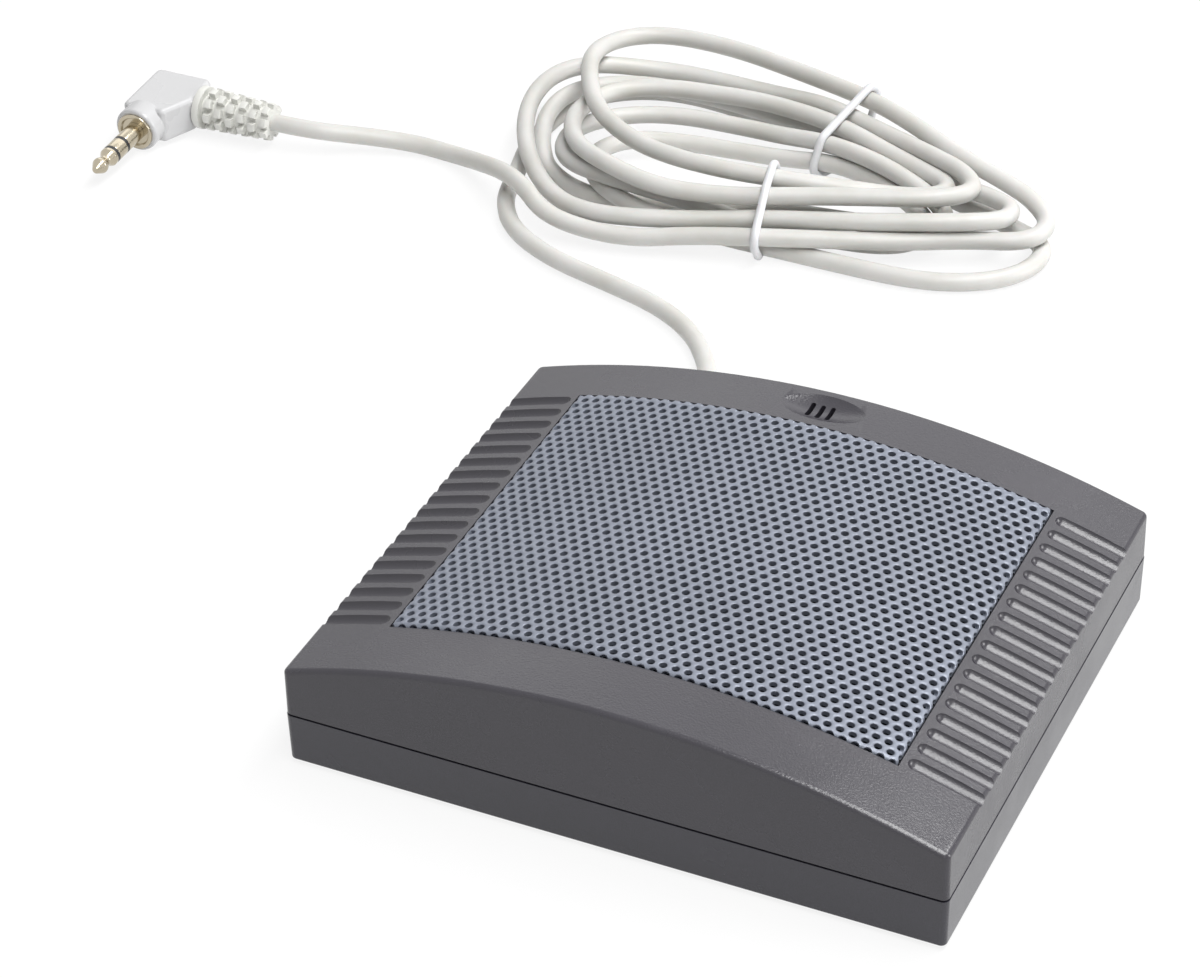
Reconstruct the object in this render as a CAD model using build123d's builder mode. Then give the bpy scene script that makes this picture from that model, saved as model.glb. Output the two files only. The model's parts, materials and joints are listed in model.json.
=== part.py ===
from build123d import *

import os
from math import asin, cos, pi, radians, sin, sqrt, tan

# Counter unit of a teller window intercom: a low desk housing with a barrel-arched
# top, a perforated grille over a small loudspeaker, a microphone behind three slots
# in the rear rim, and a white cord, wound into a tied hank, that ends in a moulded
# right-angle 3.5 mm jack plug.
#
# Millimetres. +X is to the right along the front, +Y is to the rear where the cord
# leaves, +Z is up. The origin is the middle of the housing on the surface it stands on.

# ---- Housing: driving sizes ----
body_width = 100.4
body_depth = 84.6
foot_height = 0.8
base_height = 8.1
side_height = 7.9
arch_rise = 8.4
corner_radius = 1.0
edge_radius = 0.8
base_edge_radius = 0.4
wall = 2.4
base_floor = 2.2
top_wall = 2.8
cover_step = 0.05
cover_draft = 0.4
base_draft = 1.0
lip_thickness = 0.9
lip_height = 1.2
lip_gap = 0.1
shadow_line_height = 0.3
shadow_line_depth = 0.35
fit_gap = 0.1
boss_overlap = 0.4

# ---- Grille and what lies under it ----
grille_width = 76.9
grille_depth = 63.3
grille_centre_y = 0.7
grille_thickness = 0.8
grille_proud = 0.35
grille_rim = 1.0
grille_bend = 0.5
cloth_thickness = 0.3
ledge_width = 1.6
pocket_drop = 0.65
rib_width = 1.4
rib_places = (-16.0, 6.6)

# ---- Side grooves ----
groove_count = 18
groove_pitch = 3.54
groove_radius = 1.25
groove_drop = 0.7
groove_start = 40.6

# ---- Microphone ----
mic_inset = 6.3
dimple_inset = 5.1
dimple_drop = 1.1
dimple_half_width = 3.3
dimple_half_length = 7.2
slot_count = 3
slot_pitch = 1.6
slot_width = 0.75
slot_length = 3.5
slot_centre_x = -0.5
mic_radius = 2.0
mic_height = 1.5
boot_wall = 0.8
boot_height = 3.0
mic_tube_wall = 0.75

# ---- Loudspeaker ----
speaker_radius = 28.5
speaker_face_z = 17.9
flange_thickness = 0.8
flange_width = 4.1
gasket_thickness = 0.7
basket_sheet = 0.8
shelf_z = 12.0
shelf_inner = 13.2
shelf_outer = 16.4
basket_floor_z = 9.6
basket_window_count = 6
pole_radius = 6.0
coil_radius = 6.35
former_wall = 0.4
winding_wall = 0.2
coil_gap = 0.35
coil_bottom_z = 6.6
coil_top_z = 13.2
winding_bottom_z = 7.4
winding_top_z = 10.8
top_plate_thickness = 1.4
top_plate_radius = 14.5
magnet_radius = 16.0
magnet_inner = 8.6
magnet_height = 3.2
yoke_thickness = 1.4
yoke_radius = 14.0
cone_radius = 21.0
cone_wall = 0.45
cone_rim_z = 17.0
cone_neck_z = 12.6
cone_sag = 0.7
dust_cap_radius = 7.9
dust_cap_rise = 2.0
roll_height = 1.6
spider_z = 12.0
spider_wall = 0.3
spider_ripple = 0.35
cone_travel = 0.8

# ---- Screws ----
housing_screw_inset = 6.7
housing_screw_hold = 5.0
housing_screw_radius = 1.25
housing_head_radius = 2.2
housing_head_height = 1.5
housing_head_depth = 2.6
housing_boss_radius = 3.0
housing_post_radius = 4.4
speaker_boss_radius = 2.2
speaker_screw_radius = 1.0
speaker_washer_radius = 3.6
speaker_washer_thickness = 0.5
speaker_head_radius = 1.9
speaker_head_height = 1.3
speaker_screw_grip = 3.0
small_screw_radius = 0.9
small_head_radius = 1.7
small_head_height = 1.1
small_screw_grip = 3.0

# ---- Feet ----
foot_inset_x = 15.2
foot_inset_y = 14.3
foot_radius = 4.0
foot_recess = 0.8

# ---- Circuit board ----
board_side_gap = 3.0
board_y = 2.0
board_magnet_gap = 6.6
board_length = 40.0
board_thickness = 1.2
board_corner = 1.0
board_z = 5.0
board_post_radius = 2.0
board_screw_inset = 2.6
header_width = 8.0
header_depth = 4.0
header_height = 4.0
header_aside = 2.5
header_edge_gap = 0.5
capacitor_radius = 3.0
capacitor_height = 7.0
chip_width = 4.0
chip_length = 5.0
chip_height = 1.5

# ---- Cord and its entry ----
cord_radius = 1.6
cord_side_inset = 20.2
cord_z = 6.2
grommet_neck_radius = 2.6
grommet_flange_radius = 3.1
grommet_flange = 1.2
grommet_taper_length = 8.0
grommet_root_radius = 2.5
grommet_tip_radius = 1.95
clamp_inset = 6.9
clamp_length = 15.0
clamp_width = 4.0
clamp_thickness = 2.0
clamp_screw_pitch = 10.4
jacket_beyond_clamp = 4.5
wire_radius = 0.45

# ---- Hank ----
hank_height = 13.6
hank_edge = 3.0
tie_wire = 1.5
tie_gap = 0.3
tie_core_width = 9.0
tie_core_height = 9.7

# ---- Plug ----
plug_x = -159.6
plug_y = 99.4
plug_z = 4.3
plug_tilt = 2.4
jack_radius = 1.75
jack_length = 14.4
tip_length = 5.4
ring_length = 2.7
band_length = 0.7
tip_neck_radius = 1.1
tip_end_radius = 1.5
collar_radius = 3.5
collar_thickness = 0.5
plug_nose_radius = 4.2
plug_nose_length = 4.0
plug_body_length = 16.2
plug_body_corner = 1.2
plug_body_edge = 0.9
plug_body_left = 4.2
plug_body_right = 7.2
plug_body_half_height = 3.4
relief_offset = 11.7
relief_length = 15.0
relief_root_radius = 4.0
relief_tip_radius = 3.4
relief_rib_count = 7
relief_rib_share = 0.55
relief_core_radius = 2.5

# ---- Levels and outlines worked out from the sizes above ----
parting_z = foot_height + base_height
shoulder_z = parting_z + side_height
apex_z = shoulder_z + arch_rise
floor_z = foot_height + base_floor
cover_width = body_width - 2 * cover_step
cover_depth = body_depth - 2 * cover_step
shoulder_half_width = cover_width / 2 - side_height * tan(radians(cover_draft))
arch_radius = (shoulder_half_width**2 + arch_rise**2) / (2 * arch_rise)
arch_centre_z = apex_z - arch_radius
inner_width = body_width - 2 * wall
inner_depth = body_depth - 2 * wall
inner_corner = corner_radius / 2
cover_inner_width = cover_width - 2 * wall
cover_inner_depth = cover_depth - 2 * wall

mic_y = body_depth / 2 - mic_inset
dimple_y = body_depth / 2 - dimple_inset
housing_screw_x = body_width / 2 - housing_screw_inset
housing_screw_y = body_depth / 2 - housing_screw_inset
foot_x = body_width / 2 - foot_inset_x
foot_y = body_depth / 2 - foot_inset_y
board_left_x = board_side_gap - inner_width / 2
board_right_x = -magnet_radius - board_magnet_gap
board_width = board_right_x - board_left_x
board_x = (board_left_x + board_right_x) / 2
cord_x = cord_side_inset - body_width / 2
clamp_y = inner_depth / 2 - clamp_inset
jacket_end_y = clamp_y - jacket_beyond_clamp

sheet_top_depth = -grille_proud
sheet_bottom_depth = grille_thickness - grille_proud
ledge_depth = sheet_bottom_depth + cloth_thickness + 2 * fit_gap
pocket_depth = ledge_depth + pocket_drop
grille_front_y = grille_centre_y - grille_depth / 2
grille_rear_y = grille_centre_y + grille_depth / 2


def arch_z(x, depth=0.0):
    """Height of the arch at x, depth below the cover's outer skin."""
    return arch_centre_z + sqrt((arch_radius - depth) ** 2 - x**2)


def under_arch(half_width, bottom_z, depth, y=0.0):
    """Face standing at y, from bottom_z up to the arch that lies depth below the skin."""
    edge_z = arch_z(half_width, depth)
    with BuildSketch(Plane.XZ.offset(-y)) as area:
        with BuildLine():
            Polyline(
                (-half_width, edge_z),
                (-half_width, bottom_z),
                (half_width, bottom_z),
                (half_width, edge_z),
            )
            ThreePointArc((half_width, edge_z), (0, arch_z(0, depth)), (-half_width, edge_z))
        make_face()
    return area.sketch


def over_arch(half_width, top_z, depth, y=0.0):
    """Face standing at y, from the arch that lies depth below the skin up to top_z."""
    edge_z = arch_z(half_width, depth)
    with BuildSketch(Plane.XZ.offset(-y)) as area:
        with BuildLine():
            Polyline((-half_width, edge_z), (-half_width, top_z), (half_width, top_z), (half_width, edge_z))
            ThreePointArc((half_width, edge_z), (0, arch_z(0, depth)), (-half_width, edge_z))
        make_face()
    return area.sketch


def arch_sheet(half_width, upper_depth, lower_depth, y=0.0):
    """Face of a sheet bent to the arch, between two depths below the skin."""
    with BuildSketch(Plane.XZ.offset(-y)) as area:
        with BuildLine():
            upper = ThreePointArc(
                (-half_width, arch_z(half_width, upper_depth)),
                (0, arch_z(0, upper_depth)),
                (half_width, arch_z(half_width, upper_depth)),
            )
            lower = ThreePointArc(
                (-half_width, arch_z(half_width, lower_depth)),
                (0, arch_z(0, lower_depth)),
                (half_width, arch_z(half_width, lower_depth)),
            )
            Line(upper @ 0, lower @ 0)
            Line(upper @ 1, lower @ 1)
        make_face()
    return area.sketch


def finish_part(builder, name):
    """Label a finished piece and write its STEP file."""
    builder.part.label = name
    export_step(builder.part, f"parts/{name}.step")


os.makedirs("parts", exist_ok=True)



def four_spots(x, y):
    """The four corners of a rectangle centred on the housing."""
    return [(x, y), (x, -y), (-x, -y), (-x, y)]


housing_screw_spots = four_spots(housing_screw_x, housing_screw_y)
foot_spots = four_spots(foot_x, foot_y)
board_screw_reach_x = board_width / 2 - board_screw_inset
board_screw_reach_y = board_length / 2 - board_screw_inset
board_screw_spots = [
    (board_x + x, board_y + y)
    for x in (-board_screw_reach_x, board_screw_reach_x)
    for y in (-board_screw_reach_y, board_screw_reach_y)
]
clamp_screw_spots = [(cord_x + x, clamp_y) for x in (-clamp_screw_pitch / 2, clamp_screw_pitch / 2)]

# The speaker's screws stand just outside its round flange, on the diagonals.
speaker_screw_reach = (speaker_radius + speaker_boss_radius + fit_gap) * cos(pi / 4)
speaker_screw_spots = [
    (x, grille_centre_y + y)
    for x in (-speaker_screw_reach, speaker_screw_reach)
    for y in (-speaker_screw_reach, speaker_screw_reach)
]
speaker_seat_z = speaker_face_z + gasket_thickness
flange_bottom_z = speaker_face_z - flange_thickness
flange_inner = speaker_radius - flange_width
speaker_window = flange_inner + 0.6

# ---- Top cover ----
with BuildPart() as cover_cavity:
    with BuildSketch(Plane.XY.offset(parting_z)):
        RectangleRounded(cover_inner_width, cover_inner_depth, inner_corner)
    extrude(amount=apex_z - parting_z, taper=cover_draft)
    extrude(under_arch(body_width / 2, 0, top_wall), amount=body_depth, both=True, mode=Mode.INTERSECT)

# Bosses, speaker ring and microphone tube, all trimmed to end inside the arched wall.
with BuildPart() as cover_bosses:
    with BuildSketch(Plane.XY.offset(parting_z)):
        with Locations(*housing_screw_spots):
            Circle(housing_boss_radius)
    extrude(amount=apex_z - parting_z)
    with BuildSketch(Plane.XY.offset(flange_bottom_z)):
        with Locations(*speaker_screw_spots):
            Circle(speaker_boss_radius)
    extrude(amount=apex_z - flange_bottom_z)
    with BuildSketch(Plane.XY.offset(speaker_seat_z)):
        with Locations((0, grille_centre_y)):
            Circle(speaker_radius)
            Circle(speaker_window, mode=Mode.SUBTRACT)
    extrude(amount=apex_z - speaker_seat_z)
    with BuildSketch(Plane.XY.offset(arch_z(0, top_wall) - boot_height - fit_gap)):
        with Locations((0, mic_y)):
            Circle(mic_radius + boot_wall + fit_gap + mic_tube_wall)
    extrude(amount=boot_height + top_wall)
    extrude(
        under_arch(body_width / 2, 0, top_wall - boss_overlap),
        amount=body_depth,
        both=True,
        mode=Mode.INTERSECT,
    )

# Oval scoop: a stretched ball whose centre hangs above the rim.
scoop_radius = (dimple_half_width**2 + dimple_drop**2) / (2 * dimple_drop)
scoop_reach = dimple_half_length / sqrt(1 - ((scoop_radius - dimple_drop) / scoop_radius) ** 2)
scoop_z = apex_z - dimple_drop + scoop_radius
with BuildPart() as mic_scoop:
    with BuildSketch(Plane((0, dimple_y, scoop_z), x_dir=(1, 0, 0), z_dir=(0, -1, 0))):
        Ellipse(scoop_reach, scoop_radius)
        Rectangle(2 * scoop_reach, scoop_radius, align=(Align.CENTER, Align.MIN), mode=Mode.SUBTRACT)
    revolve(axis=Axis((0, dimple_y, scoop_z), (1, 0, 0)))

groove_first_y = grille_centre_y - groove_pitch * (groove_count - 1) / 2
groove_rise = groove_radius - groove_drop
groove_inner_end = Vector(groove_start, groove_first_y, arch_z(groove_start) + groove_rise)
groove_outer_end = Vector(body_width / 2, groove_first_y, arch_z(body_width / 2) + groove_rise)
groove_run = groove_outer_end - groove_inner_end
with BuildPart() as side_groove:
    with BuildSketch(Plane(groove_inner_end, x_dir=(0, 1, 0), z_dir=groove_run)):
        Circle(groove_radius)
    extrude(amount=1.5 * groove_run.length)
    with Locations(groove_inner_end):
        Sphere(groove_radius)

left_groove = mirror(side_groove.part, about=Plane.YZ)

with BuildPart() as top_cover:
    with BuildSketch(Plane.XY.offset(parting_z)):
        RectangleRounded(cover_width, cover_depth, corner_radius)
    extrude(amount=apex_z - parting_z + edge_radius, taper=cover_draft)
    extrude(under_arch(body_width / 2, parting_z, 0), amount=body_depth, both=True, mode=Mode.INTERSECT)
    fillet(top_cover.faces().sort_by(Axis.Z)[-1].edges(), edge_radius)
    add(cover_cavity.part, mode=Mode.SUBTRACT)
    add(cover_bosses.part)
    # Seat for the grille, the deeper sound pocket inside its ledge, and the rim grooves.
    seat_half = grille_width / 2 + fit_gap
    extrude(
        over_arch(seat_half, apex_z + 1, ledge_depth, grille_rear_y + fit_gap),
        amount=grille_depth + 2 * fit_gap,
        mode=Mode.SUBTRACT,
    )
    extrude(
        over_arch(seat_half - ledge_width, apex_z + 1, pocket_depth, grille_rear_y - 2 * ledge_width),
        amount=grille_depth - 4 * ledge_width,
        mode=Mode.SUBTRACT,
    )
    for rim_y in (grille_rear_y + fit_gap, grille_front_y + grille_thickness + fit_gap):
        extrude(
            over_arch(seat_half, apex_z + 1, pocket_depth, rim_y),
            amount=grille_thickness + 2 * fit_gap,
            mode=Mode.SUBTRACT,
        )
    for rib_y in rib_places:
        rib_rear_y = grille_centre_y + rib_y + rib_width / 2
        extrude(
            arch_sheet(seat_half - ledge_width, ledge_depth, pocket_depth + 0.2, rib_rear_y),
            amount=rib_width,
        )
    # Round sound opening, crossed by the two ribs.
    with BuildSketch(Plane.XY.offset(speaker_face_z)) as sound_opening:
        with Locations((0, grille_centre_y)):
            Circle(speaker_window)
        for rib_y in rib_places:
            with Locations((0, grille_centre_y + rib_y)):
                Rectangle(2 * speaker_window, rib_width, mode=Mode.SUBTRACT)
    extrude(amount=apex_z - speaker_face_z, mode=Mode.SUBTRACT)
    # Microphone dimple, its three slots, and the tube that holds the capsule below.
    add(mic_scoop.part, mode=Mode.SUBTRACT)
    with BuildSketch(Plane.XY.offset(arch_z(0, top_wall) - boot_height - 1)):
        with Locations((0, mic_y)):
            Circle(mic_radius + boot_wall + fit_gap)
    extrude(amount=boot_height + 1, mode=Mode.SUBTRACT)
    with BuildSketch(Plane.XY.offset(arch_z(0, top_wall) - 0.5)):
        with Locations((slot_centre_x, dimple_y)):
            with GridLocations(slot_pitch, 0, slot_count, 1):
                SlotOverall(slot_length, slot_width, rotation=90)
    extrude(amount=top_wall + 1, mode=Mode.SUBTRACT)
    # Grooves down both flanks, from beside the grille out through the side edge.
    with Locations(*[(0, groove_pitch * i, 0) for i in range(groove_count)]):
        add(side_groove.part, mode=Mode.SUBTRACT)
        add(left_groove, mode=Mode.SUBTRACT)
    # Shadow line outside and step for the base's lip inside, both along the parting line.
    with BuildSketch(Plane.XY.offset(parting_z)):
        Rectangle(body_width + 2, body_depth + 2)
        RectangleRounded(
            cover_width - 2 * shadow_line_depth,
            cover_depth - 2 * shadow_line_depth,
            corner_radius,
            mode=Mode.SUBTRACT,
        )
    extrude(amount=shadow_line_height, mode=Mode.SUBTRACT)
    with BuildSketch(Plane.XY.offset(parting_z)):
        RectangleRounded(
            inner_width + 2 * (lip_thickness + lip_gap),
            inner_depth + 2 * (lip_thickness + lip_gap),
            inner_corner + lip_thickness,
        )
        with Locations(*housing_screw_spots):
            Circle(housing_boss_radius, mode=Mode.SUBTRACT)
    extrude(amount=lip_height + lip_gap, mode=Mode.SUBTRACT)
    # Pilot holes for the housing screws and the speaker screws.
    with Locations(*[(x, y, parting_z) for x, y in housing_screw_spots]):
        Cylinder(
            housing_screw_radius,
            housing_screw_hold + 1,
            align=(Align.CENTER, Align.CENTER, Align.MIN),
            mode=Mode.SUBTRACT,
        )
    with Locations(*[(x, y, flange_bottom_z) for x, y in speaker_screw_spots]):
        Cylinder(
            speaker_screw_radius,
            speaker_screw_grip + 2 * fit_gap,
            align=(Align.CENTER, Align.CENTER, Align.MIN),
            mode=Mode.SUBTRACT,
        )
finish_part(top_cover, "top_cover")

# ---- Grille panel: a sheet bent to the arch, with its front and rear edges turned down ----
with BuildPart() as grille_panel:
    extrude(
        arch_sheet(grille_width / 2, sheet_top_depth, sheet_bottom_depth, grille_rear_y),
        amount=grille_depth,
    )
    for rim_y in (grille_rear_y, grille_front_y + grille_thickness):
        extrude(
            arch_sheet(grille_width / 2, sheet_bottom_depth, grille_rim, rim_y),
            amount=grille_thickness,
        )
    top_face = grille_panel.faces().sort_by(Axis.Z)[-1]
    fillet(top_face.edges(), grille_bend)
finish_part(grille_panel, "grille_panel")

with BuildPart() as acoustic_cloth:
    extrude(
        arch_sheet(
            grille_width / 2 - fit_gap,
            sheet_bottom_depth + fit_gap,
            sheet_bottom_depth + fit_gap + cloth_thickness,
            grille_rear_y - grille_thickness - fit_gap,
        ),
        amount=grille_depth - 2 * (grille_thickness + fit_gap),
    )
finish_part(acoustic_cloth, "acoustic_cloth")

# ---- Loudspeaker, turned about one upright axis ----
speaker_plane = Plane((0, grille_centre_y, 0), x_dir=(1, 0, 0), z_dir=(0, -1, 0))
speaker_axis = Axis((0, grille_centre_y, 0), (0, 0, 1))
shelf_bottom_z = shelf_z - basket_sheet
basket_floor_top_z = basket_floor_z + basket_sheet
magnet_top_z = basket_floor_z - top_plate_thickness
magnet_bottom_z = magnet_top_z - magnet_height
former_outer = coil_radius + former_wall
winding_outer = former_outer + winding_wall


def ring(outer_radius, inner_radius):
    """Flat ring about the speaker's axis."""
    with BuildSketch() as area:
        with Locations((0, grille_centre_y)):
            Circle(outer_radius)
            Circle(inner_radius, mode=Mode.SUBTRACT)
    return area.sketch


with BuildPart() as speaker_gasket:
    extrude(Plane.XY.offset(speaker_face_z) * ring(speaker_radius, speaker_window), amount=gasket_thickness)
finish_part(speaker_gasket, "speaker_gasket")

# Pressed steel basket: flange, windowed cone wall, spider shelf and floor.
with BuildPart() as speaker_basket:
    with BuildSketch(speaker_plane):
        with BuildLine():
            Polyline(
                (speaker_radius, speaker_face_z),
                (flange_inner, speaker_face_z),
                (shelf_outer, shelf_z),
                (shelf_inner, shelf_z),
                (shelf_inner, basket_floor_top_z),
                (winding_outer + 2 * coil_gap, basket_floor_top_z),
                (winding_outer + 2 * coil_gap, basket_floor_z),
                (shelf_inner + basket_sheet, basket_floor_z),
                (shelf_inner + basket_sheet, shelf_bottom_z),
                (shelf_outer + basket_sheet, shelf_bottom_z),
                (flange_inner + basket_sheet, flange_bottom_z),
                (speaker_radius, flange_bottom_z),
                close=True,
            )
        make_face()
    revolve(axis=speaker_axis)
    window_height = 0.6 * (flange_bottom_z - shelf_z)
    with Locations((0, grille_centre_y, (flange_bottom_z + shelf_z) / 2)):
        with PolarLocations((shelf_outer + flange_inner) / 2, basket_window_count):
            Box(flange_inner - shelf_outer, shelf_inner * 0.7, window_height, mode=Mode.SUBTRACT)
finish_part(speaker_basket, "speaker_basket")

with BuildPart() as speaker_top_plate:
    extrude(
        Plane.XY.offset(magnet_top_z) * ring(top_plate_radius, winding_outer + coil_gap),
        amount=top_plate_thickness,
    )
finish_part(speaker_top_plate, "speaker_top_plate")

with BuildPart() as speaker_magnet:
    extrude(Plane.XY.offset(magnet_bottom_z) * ring(magnet_radius, magnet_inner), amount=magnet_height)
    chamfer(speaker_magnet.edges().filter_by(GeomType.CIRCLE).group_by(SortBy.RADIUS)[-1], 0.4)
finish_part(speaker_magnet, "speaker_magnet")

with BuildPart() as speaker_yoke:
    with BuildSketch(speaker_plane):
        with BuildLine():
            Polyline(
                (0, magnet_bottom_z - yoke_thickness),
                (yoke_radius, magnet_bottom_z - yoke_thickness),
                (yoke_radius, magnet_bottom_z),
                (pole_radius, magnet_bottom_z),
                (pole_radius, basket_floor_z),
                (0, basket_floor_z),
                close=True,
            )
        make_face()
    revolve(axis=speaker_axis)
    fillet(speaker_yoke.edges().group_by(Axis.Z)[0], 0.5)
finish_part(speaker_yoke, "speaker_yoke")

with BuildPart() as voice_coil:
    extrude(
        Plane.XY.offset(coil_bottom_z) * ring(former_outer, coil_radius),
        amount=coil_top_z - coil_bottom_z,
    )
    extrude(
        Plane.XY.offset(winding_bottom_z) * ring(winding_outer, former_outer),
        amount=winding_top_z - winding_bottom_z,
    )
finish_part(voice_coil, "voice_coil")

# Paper cone, slightly flared, glued to the coil's former.
with BuildPart() as speaker_cone:
    with BuildSketch(speaker_plane):
        with BuildLine():
            cone_middle = ((former_outer + cone_radius) / 2, (cone_neck_z + cone_rim_z) / 2 - cone_sag)
            under = ThreePointArc((former_outer, cone_neck_z), cone_middle, (cone_radius, cone_rim_z))
            over = ThreePointArc(
                (former_outer, cone_neck_z + cone_wall),
                (cone_middle[0], cone_middle[1] + cone_wall),
                (cone_radius, cone_rim_z + cone_wall),
            )
            Line(under @ 0, over @ 0)
            Line(under @ 1, over @ 1)
        make_face()
    revolve(axis=speaker_axis)
finish_part(speaker_cone, "speaker_cone")

# The dust cap's rim sits on the cone, just outside the former.
dust_cap_z = coil_top_z + fit_gap
dome_radius = (dust_cap_radius**2 + dust_cap_rise**2) / (2 * dust_cap_rise)
dome_angle = asin(dust_cap_radius / dome_radius)
with BuildPart() as dust_cap:
    with BuildSketch(speaker_plane):
        with BuildLine():
            shoulder_x = dome_radius * sin(dome_angle / 2)
            shoulder_rise = dust_cap_z + dust_cap_rise - dome_radius * (1 - cos(dome_angle / 2))
            inside = ThreePointArc(
                (dust_cap_radius, dust_cap_z),
                (shoulder_x, shoulder_rise),
                (0, dust_cap_z + dust_cap_rise),
            )
            outside = ThreePointArc(
                (dust_cap_radius, dust_cap_z + former_wall),
                (shoulder_x, shoulder_rise + former_wall),
                (0, dust_cap_z + dust_cap_rise + former_wall),
            )
            Line(inside @ 0, outside @ 0)
            Line(inside @ 1, outside @ 1)
        make_face()
    revolve(axis=speaker_axis)
finish_part(dust_cap, "dust_cap")

# Half-roll surround from the cone's rim to the flange.
roll_wall = 0.4
foot_width = 0.8
roll_inner = cone_radius + fit_gap
roll_outer = flange_inner
roll_crest = (roll_inner + roll_outer) / 2
with BuildPart() as cone_surround:
    with BuildSketch(speaker_plane):
        with BuildLine():
            Polyline(
                (roll_inner, cone_rim_z + cone_wall),
                (roll_inner - foot_width, cone_rim_z + cone_wall),
                (roll_inner - foot_width, cone_rim_z + cone_wall + roll_wall),
                (roll_inner - roll_wall / 2, cone_rim_z + cone_wall + roll_wall),
            )
            ThreePointArc(
                (roll_inner - roll_wall / 2, cone_rim_z + cone_wall + roll_wall),
                (roll_crest, speaker_face_z + roll_height),
                (roll_outer + roll_wall / 2, speaker_face_z + roll_wall),
            )
            Polyline(
                (roll_outer + roll_wall / 2, speaker_face_z + roll_wall),
                (roll_outer + 0.5, speaker_face_z + roll_wall),
                (roll_outer + 0.5, speaker_face_z),
                (roll_outer, speaker_face_z),
            )
            ThreePointArc(
                (roll_outer, speaker_face_z),
                (roll_crest, speaker_face_z + roll_height - roll_wall),
                (roll_inner, cone_rim_z + cone_wall),
            )
        make_face()
    revolve(axis=speaker_axis)
finish_part(cone_surround, "cone_surround")

# Corrugated spider from the former to the basket's shelf.
spider_start = former_outer
spider_end = shelf_outer - 0.4
ripple_start = former_outer + 0.8
ripple_count = 6
ripple_step = (shelf_inner - ripple_start) / ripple_count
ripple = [
    (ripple_start + ripple_step * i, spider_z + (spider_ripple if i % 2 else 0))
    for i in range(ripple_count + 1)
]
spider_line = [(spider_start, spider_z)] + ripple + [(spider_end, spider_z)]
with BuildPart() as coil_spider:
    with BuildSketch(speaker_plane):
        with BuildLine():
            Polyline(*spider_line, *[(x, z + spider_wall) for x, z in reversed(spider_line)], close=True)
        make_face()
    revolve(axis=speaker_axis)
finish_part(coil_spider, "coil_spider")

# Terminal strip under the spider shelf, with two solder lugs.
strip_length = 9.0
strip_reach = 8.0
strip_thickness = 1.0
lug_pitch = 5.0
strip_inner_x = -(shelf_inner + basket_sheet + fit_gap)
strip_z = shelf_bottom_z - strip_thickness
lug_x = strip_inner_x - strip_reach + 1.2
with BuildPart() as speaker_terminals:
    with BuildSketch(Plane.XY.offset(strip_z)):
        with Locations((strip_inner_x, grille_centre_y)):
            Rectangle(strip_reach, strip_length, align=(Align.MAX, Align.CENTER))
        with Locations((lug_x, grille_centre_y)):
            with GridLocations(0, lug_pitch, 1, 2):
                Circle(wire_radius, mode=Mode.SUBTRACT)
    extrude(amount=strip_thickness)
finish_part(speaker_terminals, "speaker_terminals")


def pan_screw(shank_radius, grip, head_radius, head_height, down=False):
    """Pan-head screw with its head's seat at the origin and its shank along +Z, or -Z."""
    with BuildPart() as screw:
        Cylinder(shank_radius, grip, align=(Align.CENTER, Align.CENTER, Align.MIN))
        with Locations((0, 0, -head_height)):
            Cylinder(head_radius, head_height, align=(Align.CENTER, Align.CENTER, Align.MIN))
        fillet(screw.edges().group_by(Axis.Z)[0], 0.35 * head_height)
        with Locations((0, 0, -head_height)):
            Box(1.2 * head_radius, 0.3 * head_radius, head_height, mode=Mode.SUBTRACT)
            Box(0.3 * head_radius, 1.2 * head_radius, head_height, mode=Mode.SUBTRACT)
    return mirror(screw.part, about=Plane.XY) if down else screw.part


# Washer-head screws that clamp the speaker's flange up against its ring.
speaker_screw = pan_screw(
    speaker_screw_radius - fit_gap / 2,
    speaker_screw_grip + speaker_washer_thickness,
    speaker_head_radius,
    speaker_head_height,
)
with BuildPart() as speaker_screws:
    with Locations(*[(x, y, flange_bottom_z - speaker_washer_thickness) for x, y in speaker_screw_spots]):
        Cylinder(
            speaker_washer_radius,
            speaker_washer_thickness,
            align=(Align.CENTER, Align.CENTER, Align.MIN),
        )
        add(speaker_screw)
finish_part(speaker_screws, "speaker_screws")

# ---- Microphone ----
mic_ceiling_z = arch_z(mic_radius + boot_wall, top_wall)
boot_bottom_z = mic_ceiling_z - boot_height - fit_gap
mic_bottom_z = boot_bottom_z + boot_wall
with BuildPart() as mic_boot:
    with BuildSketch(Plane.XY.offset(boot_bottom_z)):
        with Locations((0, mic_y)):
            Circle(mic_radius + boot_wall)
    extrude(amount=boot_height)
    with BuildSketch(Plane.XY.offset(mic_bottom_z)):
        with Locations((0, mic_y)):
            Circle(mic_radius)
    extrude(amount=boot_height, mode=Mode.SUBTRACT)
    with BuildSketch(Plane.XY.offset(boot_bottom_z)):
        with Locations((0, mic_y)):
            Rectangle(2.0 * mic_radius * 0.8, 2 * wire_radius + 2 * fit_gap)
    extrude(amount=boot_wall, mode=Mode.SUBTRACT)
finish_part(mic_boot, "mic_boot")

with BuildPart() as mic_capsule:
    with Locations((0, mic_y, mic_bottom_z)):
        Cylinder(mic_radius, mic_height, align=(Align.CENTER, Align.CENTER, Align.MIN))
    fillet(mic_capsule.edges().group_by(Axis.Z)[-1], 0.3)
    with Locations((0, mic_y, mic_bottom_z + mic_height)):
        Cylinder(mic_radius / 2, 0.2, mode=Mode.SUBTRACT)
finish_part(mic_capsule, "mic_capsule")

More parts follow.
